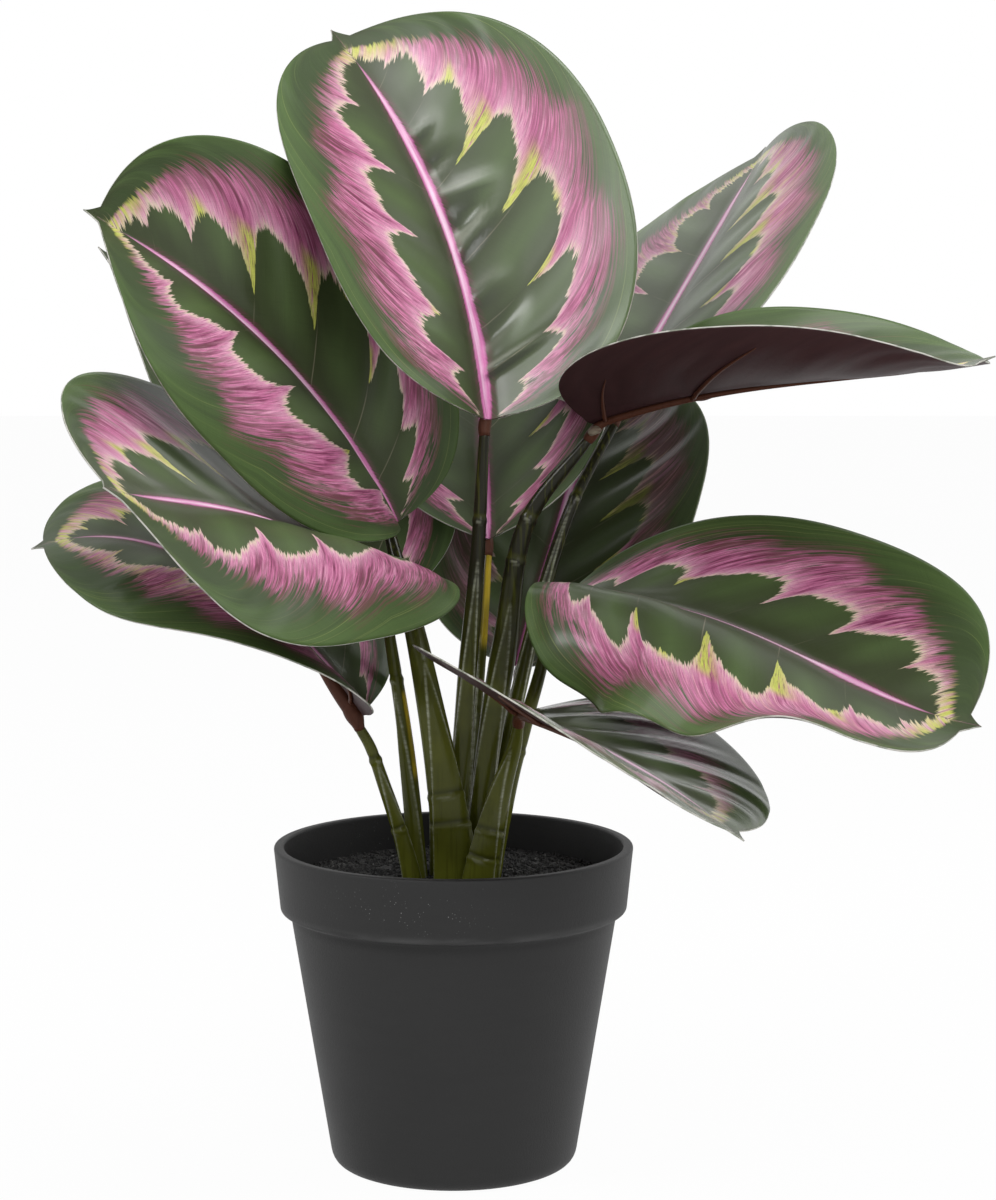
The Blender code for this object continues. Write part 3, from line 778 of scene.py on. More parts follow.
def add_piece(name: str, points: np.ndarray, faces: list[list[int]],
              materials: list[bpy.types.Material], slots: np.ndarray | None = None,
              uv: np.ndarray | None = None, marks: dict[str, np.ndarray] | None = None) -> bpy.types.Object:
    """Make a smooth mesh object at the origin.

    Args:
        name: The piece's name.
        points: Points in metres, one row each.
        faces: Point numbers of each face.
        materials: The piece's materials.
        slots: Each face's material number, or None for the first.
        uv: Each point's place in the UV map, or None.
        marks: Numbers kept on the points, by name.

    Returns:
        The object.
    """
    mesh = bpy.data.meshes.new(name)
    mesh.from_pydata(points.tolist(), [], faces)
    for material in materials:
        mesh.materials.append(material)
    if slots is not None:
        mesh.polygons.foreach_set("material_index", slots.astype(np.int32))
    if uv is not None:
        layer = mesh.uv_layers.new(name=UV_MAP)
        corners = np.empty(len(mesh.loops), np.int32)
        mesh.loops.foreach_get("vertex_index", corners)
        layer.data.foreach_set("uv", uv[corners].astype(np.float32).ravel())
    for key, numbers in (marks or {}).items():
        layer = mesh.attributes.new(key, "FLOAT", "POINT")
        layer.data.foreach_set("value", numbers.astype(np.float32))
    mesh.shade_smooth()
    mesh.update()
    piece = bpy.data.objects.new(name, mesh)
    bpy.context.scene.collection.objects.link(piece)
    return piece


def grid_faces(rows: int, columns: int, closed: bool) -> np.ndarray:
    """List the four-sided faces of a grid of points.

    Args:
        rows: Rows of points.
        columns: Points in a row.
        closed: Whether the last column joins the first.

    Returns:
        One row of four point numbers for each face.
    """
    row, column = np.meshgrid(np.arange(rows - 1), np.arange(columns if closed else columns - 1),
                              indexing="ij")
    after = (column + 1) % columns
    quads = np.stack([row * columns + column, row * columns + after,
                      (row + 1) * columns + after, (row + 1) * columns + column], axis=-1)
    return quads.reshape(-1, 4)


def closed_rings(rings: np.ndarray, foot: np.ndarray, top: np.ndarray, turned_over: bool = False) -> Mesh:
    """Join rings of points into one surface, closed by a fan of faces at each end.

    Args:
        rings: The points by ring, place round the ring and axis.
        foot: The point that closes the first ring.
        top: The point that closes the last ring.
        turned_over: Whether the faces look the other way.

    Returns:
        The points, with foot and top last, and the faces.
    """
    rows, sides = rings.shape[:2]
    count, last = rows * sides, (rows - 1) * sides
    around = np.arange(sides)
    after = (around + 1) % sides
    faces = grid_faces(rows, sides, True).tolist()
    faces += np.stack([np.full(sides, count), after, around], axis=1).tolist()
    faces += np.stack([np.full(sides, count + 1), last + around, last + after], axis=1).tolist()
    if turned_over:
        faces = [face[::-1] for face in faces]
    return np.vstack([rings.reshape(-1, 3), foot, top]), faces


def joined(meshes: list[Mesh]) -> Mesh:
    """Put closed surfaces into one list of points and one of faces.

    Args:
        meshes: The surfaces, each as points and faces.

    Returns:
        The points and the faces of all.
    """
    faces, first = [], 0
    for points, more in meshes:
        faces += [[first + number for number in face] for face in more]
        first += len(points)
    return np.vstack([points for points, _ in meshes]), faces


def circle_angles(sides: int) -> np.ndarray:
    """Return evenly spaced angles round a circle."""
    return np.linspace(0.0, 2.0 * math.pi, sides, endpoint=False)


def angle_away(angles: np.ndarray, degrees: float) -> np.ndarray:
    """Return how far angles are from a direction, either way round."""
    return np.abs((angles - math.radians(degrees) + math.pi) % (2.0 * math.pi) - math.pi)


def bell(values: np.ndarray, width: float | np.ndarray) -> np.ndarray:
    """Return a bell of height 1 about 0, e to the minus square of the value over the width."""
    return np.exp(-(values / width) ** 2)


def unit(vectors: np.ndarray) -> np.ndarray:
    """Scale vectors to length 1."""
    return vectors / np.maximum(np.linalg.norm(vectors, axis=-1, keepdims=True), 1e-12)


def turned(vectors: np.ndarray, axis: np.ndarray, degrees: float) -> np.ndarray:
    """Turn vectors about a unit axis: v cos a + (k x v) sin a + k (k.v)(1 - cos a).

    Args:
        vectors: The vectors, v.
        axis: The axis, k.
        degrees: The angle, a.

    Returns:
        The turned vectors.
    """
    angle = math.radians(degrees)
    return (vectors * math.cos(angle) + np.cross(axis, vectors) * math.sin(angle)
            + axis * np.dot(axis, vectors) * (1.0 - math.cos(angle)))


def smooth_step(values: np.ndarray, low: float, high: float) -> np.ndarray:
    """Rise smoothly from 0 at low to 1 at high."""
    part = np.clip((values - low) / (high - low), 0.0, 1.0)
    return part * part * (3.0 - 2.0 * part)


def route_through(points: np.ndarray, count: int) -> np.ndarray:
    """Follow points with a Catmull-Rom curve, read at evenly spaced lengths.

    Args:
        points: The route's own points.
        count: How many points to return.

    Returns:
        The points along the curve.
    """
    ends = np.vstack([2.0 * points[0] - points[1], points, 2.0 * points[-1] - points[-2]])
    steps = np.linspace(0.0, 1.0, 40, endpoint=False)[:, None]
    parts = []
    for p0, p1, p2, p3 in zip(ends, ends[1:], ends[2:], ends[3:]):
        parts.append(0.5 * (2.0 * p1 + (p2 - p0) * steps + (2.0 * p0 - 5.0 * p1 + 4.0 * p2 - p3) * steps ** 2
                            + (3.0 * p1 - p0 - 3.0 * p2 + p3) * steps ** 3))
    curve = np.vstack(parts + [points[-1:]])
    lengths = np.concatenate([[0.0], np.cumsum(np.linalg.norm(np.diff(curve, axis=0), axis=1))])
    places = np.linspace(0.0, lengths[-1], count)
    return np.stack([np.interp(places, lengths, curve[:, axis]) for axis in range(3)], axis=1)


def tube(path: np.ndarray, radii: np.ndarray, sides: int) -> Mesh:
    """Carry a circle along a path and close both ends to a point.

    Args:
        path: Centres, one row each.
        radii: The circle's radius at each centre.
        sides: Points round the circle.

    Returns:
        The points, with the closed ends last, and the faces.
    """
    tangents = unit(np.gradient(path, axis=0))
    helper = np.where(np.abs(tangents[:, 2:3]) < 0.8, [[0.0, 0.0, 1.0]], [[0.0, 1.0, 0.0]])
    wide = unit(np.cross(helper, tangents))
    deep = np.cross(tangents, wide)
    angles = circle_angles(sides)
    ring = wide[:, None] * np.cos(angles)[None, :, None] + deep[:, None] * np.sin(angles)[None, :, None]
    return closed_rings(path[:, None] + ring * radii[:, None, None], path[0], path[-1])


# ---------------------------------------------------------------- leaves

# Millimetres, or shares of the blade's length. The spike is the short point past the oval's end.
BLADE_THICKNESS = 0.5
SPIKE_START = 0.955
SPIKE_HALF_WIDTH = 0.16
SPIKE_TIP = 1.018
LOBE_DEPTH = 0.05
MIDLINE_STEPS = 96
SOIL_TOP = 96.0
STALK_UPRIGHTNESS = 0.8
STALK_FOOT = 88.0
STALK_CLEAR = 97.0
STALK_END = 3.4
COLLAR_RADIUS = 2.1
COLLAR_PLACES = (4.4, 3.2, 1.8)
# The main rib goes through every sixth of RIB_PLACES even places from RIB_START to RIB_END.
RIB_START, RIB_END, RIB_PLACES = 0.03, 0.86, 60
RIB_BASE_RADIUS = 1.3
RIB_TIP_RADIUS = 0.4
RIB_STATIONS, RIB_SIDES = 90, 14
# How deep a rib's centre lies under the blade, in radii, and how much lower a creased leaf's side ribs lie.
RIB_SUNK, SIDE_RIB_SUNK, BELOW_CREASES = 0.85, 0.8, 0.45
# How far right of the midline the rib is laid, as a share of the half width.
RIB_ASIDE = 0.004
# Side ribs: the tip's share of the half width, where the rib starts and how far on it runs.
SIDE_RIBS = ((0.62, 0.035, 0.07), (-0.62, 0.035, 0.07), (0.78, 0.27, 0.24), (-0.78, 0.27, 0.24))
SIDE_RIB_STATIONS, SIDE_RIB_SIDES = 48, 8
# The blob of glue on a collar: its route from the collar's corner, its radius, and how pale it is.
GLUE_ROUTE = ((-1.6, -1.6, -0.6), (-0.5, -2.2, 0.3), (0.7, -1.9, 0.7), (1.8, -1.3, 0.3))
GLUE_RADIUS = 1.5
GLUE_STATIONS = 12
GLUE_PALENESS = 0.35
# A stalk's node ring and the groove above it: height or depth, half width and place over the ring.
RING_HEIGHT, RING_WIDTH = 0.28, 0.9
GROOVE_DEPTH, GROOVE_WIDTH, GROOVE_OVER_RING = 0.12, 0.8, 1.7
# How far a stalk's sheath and its edge stand proud.
SHEATH_PROUD, SHEATH_EDGE_PROUD = 0.45, 0.3


@dataclass(frozen=True)
class Half:
    """One side of a blade in millimetres and degrees.

    width: greatest distance from the midline to the edge.
    fold: how steeply the half leaves the midline, at foot and tip.
    curl: how far it bends on its way out, at foot and tip.
    wave: height of the edge's waves, how many there are, and where the first starts.
    """

    width: float
    fold: tuple[float, float]
    curl: tuple[float, float]
    wave: tuple[float, float, float] = (0.0, 1.0, 0.0)


@dataclass(frozen=True)
class Stalk:
    """A stalk in millimetres: foot, half width and depth at foot, middle and neck, route, rings, sheath.

    sheath: its tip's height, its direction in degrees and its half opening in degrees at the foot.
    amber: a yellowed strip's lowest and highest place, its direction and its half opening.
    """

    foot: tuple[float, float]
    halves: tuple[tuple[float, float], ...]
    waypoints: tuple[tuple[float, float, float], ...]
    rings: tuple[float, ...]
    sheath: tuple[float, float, float] = (150.0, 250.0, 60.0)
    amber: tuple[float, float, float, float] | None = None


@dataclass(frozen=True)
class LeafShape:
    """A leaf's attitude in degrees and size in millimetres, with its stalk.

    base: the midline's foot.
    heading, rise, roll: where the foot points, how steeply it climbs and how far it leans to a side.
    droop, hook: how far the midline bends down, evenly and more and more towards the tip.
    sweep, twist: how far the midline turns sideways and about itself.
    creases: height of the crumpled folds over FOLDS.
    wedge: how much thicker the rib is near its foot.
    glue: whether a blob of glue lies on the collar.
    pleats: height of the soft pleats.
    fade: how much painted shade lies over the print; gloss, sour, slim: the print's own settings.
    """

    name: str
    base: tuple[float, float, float]
    heading: float
    rise: float
    roll: float
    droop: float
    hook: float
    sweep: float
    twist: float
    length: float
    left: Half
    right: Half
    stalk: Stalk
    creases: float = 0.0
    wedge: float = 0.0
    glue: bool = False
    pleats: float = 0.3
    fade: float = 0.0
    gloss: tuple[float, float] = (0.1, 0.1)
    sour: float = 0.0
    slim: float = 0.0


LEAVES = (
    LeafShape("crown", (11, -7, 250), 99, 62, 12, 10, 3, -29, 5, 155,
              Half(54, (34, 13), (-32, -15)), Half(63, (38, 10), (14, 27)),
              Stalk((-1.5, -1.5), ((3.4, 3.0), (3.2, 2.8), (1.7, 1.7)),
                    ((2, -2, 130), (5, -4, 170), (8, -6, 205)), (217,), (205, 276, 76)),
              creases=1.3, gloss=(0.1, 0.95)),
    LeafShape("right_mid", (46, 0, 248), -29, 20, -12, 31, -26, -9, 6, 137,
              Half(54, (17, -4), (82, 34)), Half(51, (17, -22), (-4, 69)),
              Stalk((7, -1.5), ((3.4, 3.0), (4.4, 3.0), (1.7, 1.7)),
                    ((11, -1, 136), (17, -1, 175), (24, -1, 215)), (203, 217), (190, 270, 72)),
              glue=True, gloss=(0.5, 0.5), sour=0.8),
    LeafShape("left_high", (-20, 14, 214), 198, 64, -35, 31, -8, -27, -2, 148,
              Half(67, (36, 21), (-89, -44)), Half(56, (34, 34), (2, 20)),
              Stalk((1, -9), ((7.6, 3.2), (4.6, 3.0), (2.0, 2.0)),
                    ((-3, -9, 130), (-9, -6, 163), (-14, 0, 185)), (116, 126), (170, 284, 84)),
              gloss=(0.05, 0.4)),
    LeafShape("left_mid", (-23, -2, 194), 229, 35, 0, 50, -33, -20, -20, 152,
              Half(65, (29, -12), (-88, -35)), Half(58, (28, 14), (15, 22)),
              Stalk((-11.5, 1), ((2.8, 2.6), (2.6, 2.4), (1.7, 1.7)),
                    ((-14, 2, 125), (-17, 3, 150), (-20, 2, 170)), (163,), (160, 240, 76),
                    (128, 160, 325, 34)), gloss=(0.15, 0.5)),
    LeafShape("right_low", (35, -6, 191), -30, 7, -31, 60, -48, -7, 12, 156,
              Half(58, (42, 54), (32, 5)), Half(65, (20, -46), (-200, 75), (5.4, 2.83, -0.04)),
              Stalk((13.4, -5), ((2.2, 2.4), (2.6, 2.4), (1.7, 1.7)),
                    ((19, -5, 130), (24, -5, 150), (29, -5, 168)), (140,)),
              gloss=(0.6, 0.3), sour=0.2, slim=0.72),
    LeafShape("left_low", (-30, -13, 154), 187, 56, -10, 34, 40, -13, 0, 127,
              Half(54, (20, 3), (0, -60)), Half(51, (30, 2), (3, 9)),
              Stalk((-14, -6), ((3.0, 2.8), (2.4, 2.2), (1.7, 1.7)),
                    ((-18, -7, 114), (-23, -9, 130), (-27, -11, 142)), (114, 138), (138, 285, 76)),
              wedge=1.7, gloss=(0.2, 0.3), sour=0.7),
    LeafShape("centre_back", (11, 30, 207), 92, 41, -3, 17, 0, 0, 0, 150,
              Half(51, (30, 10), (0, 0)), Half(52, (30, 15), (0, 0)),
              Stalk((1.5, 5.5), ((2.6, 2.4), (2.4, 2.2), (1.6, 1.6)),
                    ((5, 10, 130), (8, 16, 160), (10, 22, 185)), (150,), (176, 250, 60),
                    (170, 205, 320, 75))),
    LeafShape("right_high", (54, 34, 251), 58, 39, -10, 6, -3, -7, -18, 152,
              Half(52, (15, 5), (0, 4)), Half(56, (12, 18), (-8, -45)),
              Stalk((9, 5.5), ((2.8, 2.6), (2.6, 2.4), (1.7, 1.7)),
                    ((17, 9, 136), (27, 13, 180), (39, 19, 218)), (222,), (220, 266, 66)),
              gloss=(0.65, 0.65), sour=0.6, fade=0.12),
    LeafShape("left_back", (-19, 38, 185), 150, 42, -40, -11, -10, -8, 33, 163,
              Half(43, (9, 38), (-8, 0)), Half(52, (15, 7), (0, 4)),
              Stalk((-5, 5.5), ((2.6, 2.4), (2.4, 2.2), (1.6, 1.6)),
                    ((-6, 11, 125), (-8, 20, 150), (-12, 28, 168)), (140,))),
    LeafShape("front_low", (22, -12, 154), -86, 7, -8, 12, 13, -48, -5, 149,
              Half(46, (21, 0), (0, 0)), Half(52, (25, 13), (0, 0)),
              Stalk((8.5, -17), ((5.6, 3.8), (4.4, 3.2), (1.8, 1.8)),
                    ((12, -17, 115), (16, -15, 130), (20, -12, 142)), (106, 115), (142, 252, 76)),
              pleats=0.55, fade=0.5, gloss=(0.9, 0.9)),
    LeafShape("right_shade", (22, 26, 164), 73, 42, 5, 10, -2, -1, 0, 151,
              Half(47, (17, 11), (10, 0)), Half(51, (15, 12), (0, 0)),
              Stalk((5, 12), ((2.6, 2.4), (2.4, 2.2), (1.6, 1.6)),
                    ((9, 16, 118), (14, 20, 134), (18, 23, 148)), (125,)),
              pleats=0.6, fade=0.72, gloss=(0.4, 0.4), sour=0.5),
)
# Crumpled folds of a creased leaf: place, reach, width, height in millimetres, lean.
FOLDS = (
    (0.38, 0.22, 0.024, 1.9, 0.30), (0.45, 0.15, 0.020, -1.6, 0.10), (0.52, 0.24, 0.022, 1.9, 0.05),
    (0.60, 0.14, 0.018, -1.3, 0.15), (0.68, 0.13, 0.016, 1.1, 0.20), (0.27, 0.17, 0.030, 1.5, 0.20),
    (0.17, 0.18, 0.026, -1.1, 0.25), (0.10, 0.26, 0.012, 1.2, 0.16),
)


def oval_width(along: np.ndarray) -> np.ndarray:
    """Return the blade's half width over its greatest: an oval of power 2.5, then a short spike.

    Args:
        along: Place along the blade.

    Returns:
        The half width, from 0 to 1.
    """
    level = np.abs(2.0 * along / OVAL_END - 1.0)
    oval = np.clip(1.0 - level ** OUTLINE_POWER, 0.0, None) ** (1.0 / OUTLINE_POWER)
    spike = SPIKE_HALF_WIDTH * np.clip((SPIKE_TIP - along) / (SPIKE_TIP - SPIKE_START), 0.0, 1.0) ** 1.3
    return np.where(along > SPIKE_START, np.maximum(oval, spike), oval)


@dataclass
class Leaf:
    """Builds one leaf: blade, rib and stalk."""

    shape: LeafShape
    rows: int = 110
    spike_rows: int = 12
    columns: int = 76
    stalk_sides: int = 72
    stalk_stations: int = 160
    frames: tuple[np.ndarray, ...] = field(init=False, repr=False)

    def __post_init__(self) -> None:
        """Walk the midline once: it droops, sweeps sideways and twists as it goes."""
        shape = self.shape
        heading, rise, roll = (math.radians(a) for a in (shape.heading, shape.rise, shape.roll))
        tangent = np.array([math.cos(heading) * math.cos(rise), math.sin(heading) * math.cos(rise),
                            math.sin(rise)])
        level = unit(np.cross(tangent, [0.0, 0.0, 1.0]))
        up = np.cross(level, tangent)
        side = level * math.cos(roll) - up * math.sin(roll)
        normal = level * math.sin(roll) + up * math.cos(roll)
        point = np.array(shape.base, float)
        walk = [(point, tangent, side, normal)]
        step = 1.0 / MIDLINE_STEPS
        for index in range(MIDLINE_STEPS):
            along = (index + 0.5) * step
            before = tangent
            droop = (shape.droop + 3.0 * shape.hook * along * along) * step
            tangent, normal = (turned(v, side, -droop) for v in (tangent, normal))
            tangent, side = (turned(v, normal, -shape.sweep * step) for v in (tangent, side))
            side, normal = (turned(v, tangent, shape.twist * step) for v in (side, normal))
            point = point + (before + tangent) * (0.5 * shape.length * step)
            walk.append((point, tangent, side, normal))
        self.frames = tuple(np.array(part) for part in zip(*walk))

    def frame_at(self, along: np.ndarray) -> list[np.ndarray]:
        """Read point, tangent, side and normal along the midline, which runs on straight past 1.

        Args:
            along: Fractions along the midline.

        Returns:
            The four, each with a last axis of three.
        """
        places = np.linspace(0.0, 1.0, MIDLINE_STEPS + 1)
        point, tangent, side, normal = [
            np.stack([np.interp(along, places, part[:, axis]) for axis in range(3)], axis=-1)
            for part in self.frames]
        point = point + tangent * (np.maximum(along - 1.0, 0.0) * self.shape.length)[..., None]
        return [point, tangent, side, normal]

    def relief(self, along: np.ndarray, across: np.ndarray) -> np.ndarray:
        """Return the fabric's small rises in millimetres.

        Soft pleats follow the side veins, the midline stands up a little, and a creased leaf has a few
        crumpled folds beside its midline.

        Args:
            along: Place along the blade.
            across: Signed distance from the midline over the greatest half width.

        Returns:
            The rise at each place.
        """
        out = np.abs(across)
        edge = np.minimum(out / (oval_width(along) + 0.02), 1.0)
        vein = along - np.clip(0.3 + 1.8 * along, 0.0, 1.0) * (0.23 * edge + 0.10 * edge ** 3)
        inside = smooth_step(out, 0.02, 0.2) * smooth_step(out, 0.95, 0.6) * smooth_step(along, 0.0, 0.12)
        pleats = np.sin(vein * 34.0) + 0.45 * np.sin(vein * 83.0 + 1.0) * smooth_step(out, 0.1, 0.5)
        pleats = self.shape.pleats * pleats * inside * smooth_step(along, 1.0, 0.85)
        ridge = (0.45 * bell(across, 0.03) - 0.25 * bell(out - 0.07, 0.03)) * smooth_step(along, 0.92, 0.7)
        return pleats + ridge + self.folds(along, across)

    def folds(self, along: np.ndarray, across: np.ndarray) -> np.ndarray:
        """Return the crumpled folds' rises in millimetres.

        Each fold is a bell across a line that leans away from the midline and dies out at its reach.

        Args:
            along: Place along the blade.
            across: Signed distance from the midline over the greatest half width.

        Returns:
            The rise at each place.
        """
        folds = np.zeros_like(along)
        for place, reach, width, height, lean in FOLDS:
            ends = smooth_step(across, 0.0, 0.05) * smooth_step(across, 2.0 * reach, 0.6 * reach)
            folds += height * bell(along - place - lean * across, width) * ends
        return self.shape.creases * folds

    def crumple(self, along: np.ndarray, across: np.ndarray) -> np.ndarray:
        """Return the folds' slope along the blade: above 0 the cloth faces the foot. The print paints
        highlight and shade from it.

        Args:
            along: Place along the blade.
            across: Signed distance from the midline over the greatest half width.

        Returns:
            The slope, as rise over run.
        """
        step = 0.004
        rise = self.folds(along + step, across) - self.folds(along - step, across)
        return rise / (2.0 * step * self.shape.length)

    def surface(self, along: np.ndarray, share: np.ndarray) -> np.ndarray:
        """Return points of the blade's middle surface in millimetres.

        Each half leaves the midline at its fold angle and bends in a circular arc; the foot's corners
        reach back, and waves and small rises are added along the normal.

        Args:
            along: Fractions along the blade, any shape.
            share: Signed share of the local half width, -1 at the left edge and 1 at the right, same shape.

        Returns:
            Points with a last axis of three.
        """
        shape = self.shape
        point, tangent, side, normal = self.frame_at(along)
        out = np.abs(share) * oval_width(along)
        right = share >= 0.0
        halves = [(half.width, *half.fold, *half.curl, *half.wave) for half in (shape.left, shape.right)]
        width, fold_foot, fold_tip, curl_foot, curl_tip, height, waves, start = (
            np.where(right, other, left) for left, other in zip(*halves))
        fold = np.radians(fold_foot * (1.0 - along) + fold_tip * along)
        bend = np.radians(curl_foot * (1.0 - along) + curl_tip * along) / width
        bend = np.where(np.abs(bend) < 1e-5, 1e-5, bend)
        tilt = fold + bend * (width * out)
        sideways = (np.sin(tilt) - np.sin(fold)) / bend
        upward = (np.cos(fold) - np.cos(tilt)) / bend
        wave = height * out ** 3 * np.sin(2.0 * math.pi * (waves * along + start))
        rise = self.relief(along, np.sign(share) * out) + wave
        lobe = LOBE_DEPTH * shape.length * out ** 2 * (1.0 - along) ** 4
        sideways = np.where(right, 1.0, -1.0) * (sideways - np.sin(tilt) * rise)
        return (point + side * sideways[..., None] + normal * (upward + np.cos(tilt) * rise)[..., None]
                - tangent * lobe[..., None])

    def row_places(self) -> np.ndarray:
        """Return the rows' places, even round the oval and then up the spike, without foot and tip.

        Returns:
            Fractions along the blade.
        """
        level = np.cos(math.pi * np.arange(1, self.rows) / self.rows)
        oval = 0.5 * OVAL_END * (1.0 - np.sign(level) * np.abs(level) ** (2.0 / OUTLINE_POWER))
        spike = np.linspace(oval[-1], SPIKE_TIP, self.spike_rows + 1)[1:-1]
        return np.concatenate([oval, spike])

    def blade(self, top: bpy.types.Material, under: bpy.types.Material,
              edge: bpy.types.Material) -> bpy.types.Object:
        """Build the blade as a closed sheet: an upper and a lower grid joined round the cut edge.

        Args:
            top: The printed finish.
            under: The underside's finish.
            edge: The cut edge's finish.

        Returns:
            The blade.
        """
        rows = self.row_places()
        even = np.linspace(-1.0, 1.0, self.columns + 1)
        shares = 0.75 * even + 0.25 * np.sin(even * math.pi * 0.5)
        along, share = np.meshgrid(rows, shares, indexing="ij")
        middle = self.surface(along, share)
        normals = unit(np.cross(np.gradient(middle, axis=1), np.gradient(middle, axis=0)))
        ends = self.surface(np.array([0.0, SPIKE_TIP]), np.zeros(2))
        flat = np.vstack([middle.reshape(-1, 3), ends])
        lift = 0.5 * BLADE_THICKNESS * np.vstack([
            normals.reshape(-1, 3), normals[0, self.columns // 2], normals[-1, self.columns // 2]])
        across = share * oval_width(along)
        uv = np.stack([along.ravel(), 0.5 + 0.5 * across.ravel()], axis=1)
        uv = np.vstack([uv, [[0.0, 0.5], [SPIKE_TIP, 0.5]]])
        # The folds' slope, kept on the points for the print's painted highlight and shade.
        crumple = np.append(self.crumple(along, across), [0.0, 0.0])
        count, width = len(flat), self.columns + 1
        foot, tip = count - 2, count - 1
        column = np.arange(self.columns)
        first, last = np.arange(len(rows)) * width, (len(rows) - 1) * width
        upper = grid_faces(len(rows), width, False).tolist()
        upper += np.stack([column + 1, column, np.full(self.columns, foot)], axis=1).tolist()
        upper += np.stack([last + column, last + column + 1, np.full(self.columns, tip)], axis=1).tolist()
        lower = [[count + number for number in reversed(face)] for face in upper]
        left = [foot, *first.tolist(), tip]
        right = [tip, *(first + self.columns).tolist()[::-1], foot]
        rim = [[a, b, b + count, a + count] for side in (left, right) for a, b in zip(side, side[1:])]
        slots = np.repeat([0, 1, 2], [len(upper), len(lower), len(rim)])
        return add_piece("blade_" + self.shape.name, np.vstack([flat + lift, flat - lift]) * MM,
                         upper + lower + rim, [top, under, edge], slots, np.vstack([uv, uv]),
                         {"crumple": np.append(crumple, crumple)})

    def collar(self) -> tuple[np.ndarray, np.ndarray]:
        """Return the collar's corner, under the midline's foot, and the stalk's direction there.

        Returns:
            The corner in millimetres and the unit direction.
        """
        point, tangent, _, normal = (part[0] for part in self.frames)
        corner = point - normal * (0.5 * BLADE_THICKNESS + COLLAR_RADIUS)
        return corner, unit(tangent + np.array([0.0, 0.0, STALK_UPRIGHTNESS]))

    def under_surface(self, along: np.ndarray, share: np.ndarray, depth: np.ndarray) -> np.ndarray:
        """Return points at a depth below the blade's middle surface.

        Args:
            along: Fractions along the blade.
            share: Signed shares of the local half width.
            depth: Distances below in millimetres.

        Returns:
            The points in millimetres.
        """
        step = 0.004
        here = self.surface(along, share)
        ahead = self.surface(np.clip(along + step, 0.0, 1.0), share) - self.surface(
            np.clip(along - step, 0.0, 1.0), share)
        beside = self.surface(along, np.clip(share + step, -1.0, 1.0)) - self.surface(
            along, np.clip(share - step, -1.0, 1.0))
        return here - unit(np.cross(beside, ahead)) * depth[..., None]

    def rib(self, finish: bpy.types.Material) -> bpy.types.Object:
        """Build the moulded rib: a collar, the main rib and two short side ribs on each half.

        Args:
            finish: The rib's plastic.

        Returns:
            The rib.
        """
        shape = self.shape
        corner, direction = self.collar()
        along = np.linspace(RIB_START, RIB_END, RIB_PLACES)[::6]
        radius = RIB_BASE_RADIUS + (RIB_TIP_RADIUS - RIB_BASE_RADIUS) * along / RIB_END
        radius = radius + shape.wedge * smooth_step(along, 0.30, 0.05)
        main = self.under_surface(along, np.full_like(along, RIB_ASIDE),
                                  0.5 * BLADE_THICKNESS + RIB_SUNK * radius)
        collar = [corner - direction * place for place in COLLAR_PLACES]
        path = route_through(np.vstack([*collar, main]), RIB_STATIONS)
        part = np.linspace(0.0, 1.0, RIB_STATIONS)
        radii = np.interp(part, [0.0, 0.02, 0.04, 0.075, 1.0], [
            0.82 * COLLAR_RADIUS, COLLAR_RADIUS, COLLAR_RADIUS, RIB_BASE_RADIUS, RIB_TIP_RADIUS])
        radii += shape.wedge * smooth_step(part, 0.30, 0.09) * smooth_step(part, 0.01, 0.07)
        meshes = [tube(path, radii, RIB_SIDES)]
        steps = np.linspace(0.045, 1.0, SIDE_RIB_STATIONS)
        size = 0.75 * (1.0 - steps) ** 0.6 + 0.12
        below = 0.5 * BLADE_THICKNESS + SIDE_RIB_SUNK * size + BELOW_CREASES * shape.creases
        for share, start, run in SIDE_RIBS:
            root = self.under_surface(np.array([start]), np.array([RIB_ASIDE]), np.array([1.3]))
            route = self.under_surface(start + run * steps + 0.05 * steps ** 3, share * steps, below)
            meshes.append(tube(np.vstack([root, route]), np.append(0.7, size), SIDE_RIB_SIDES))
        moulded = sum(len(points) for points, _ in meshes)
        if shape.glue:
            swell = np.sin(np.linspace(0.35, 2.8, GLUE_STATIONS)) ** 0.5
            meshes.append(tube(route_through(corner + np.array(GLUE_ROUTE), GLUE_STATIONS),
                               GLUE_RADIUS * swell, GLUE_STATIONS))
        points, faces = joined(meshes)
        flash = np.where(np.arange(len(points)) < moulded, 0.0, GLUE_PALENESS)
        return add_piece("midrib_" + shape.name, points * MM, faces, [finish],
                         marks={"flash": flash, "amber": 0.0 * flash})

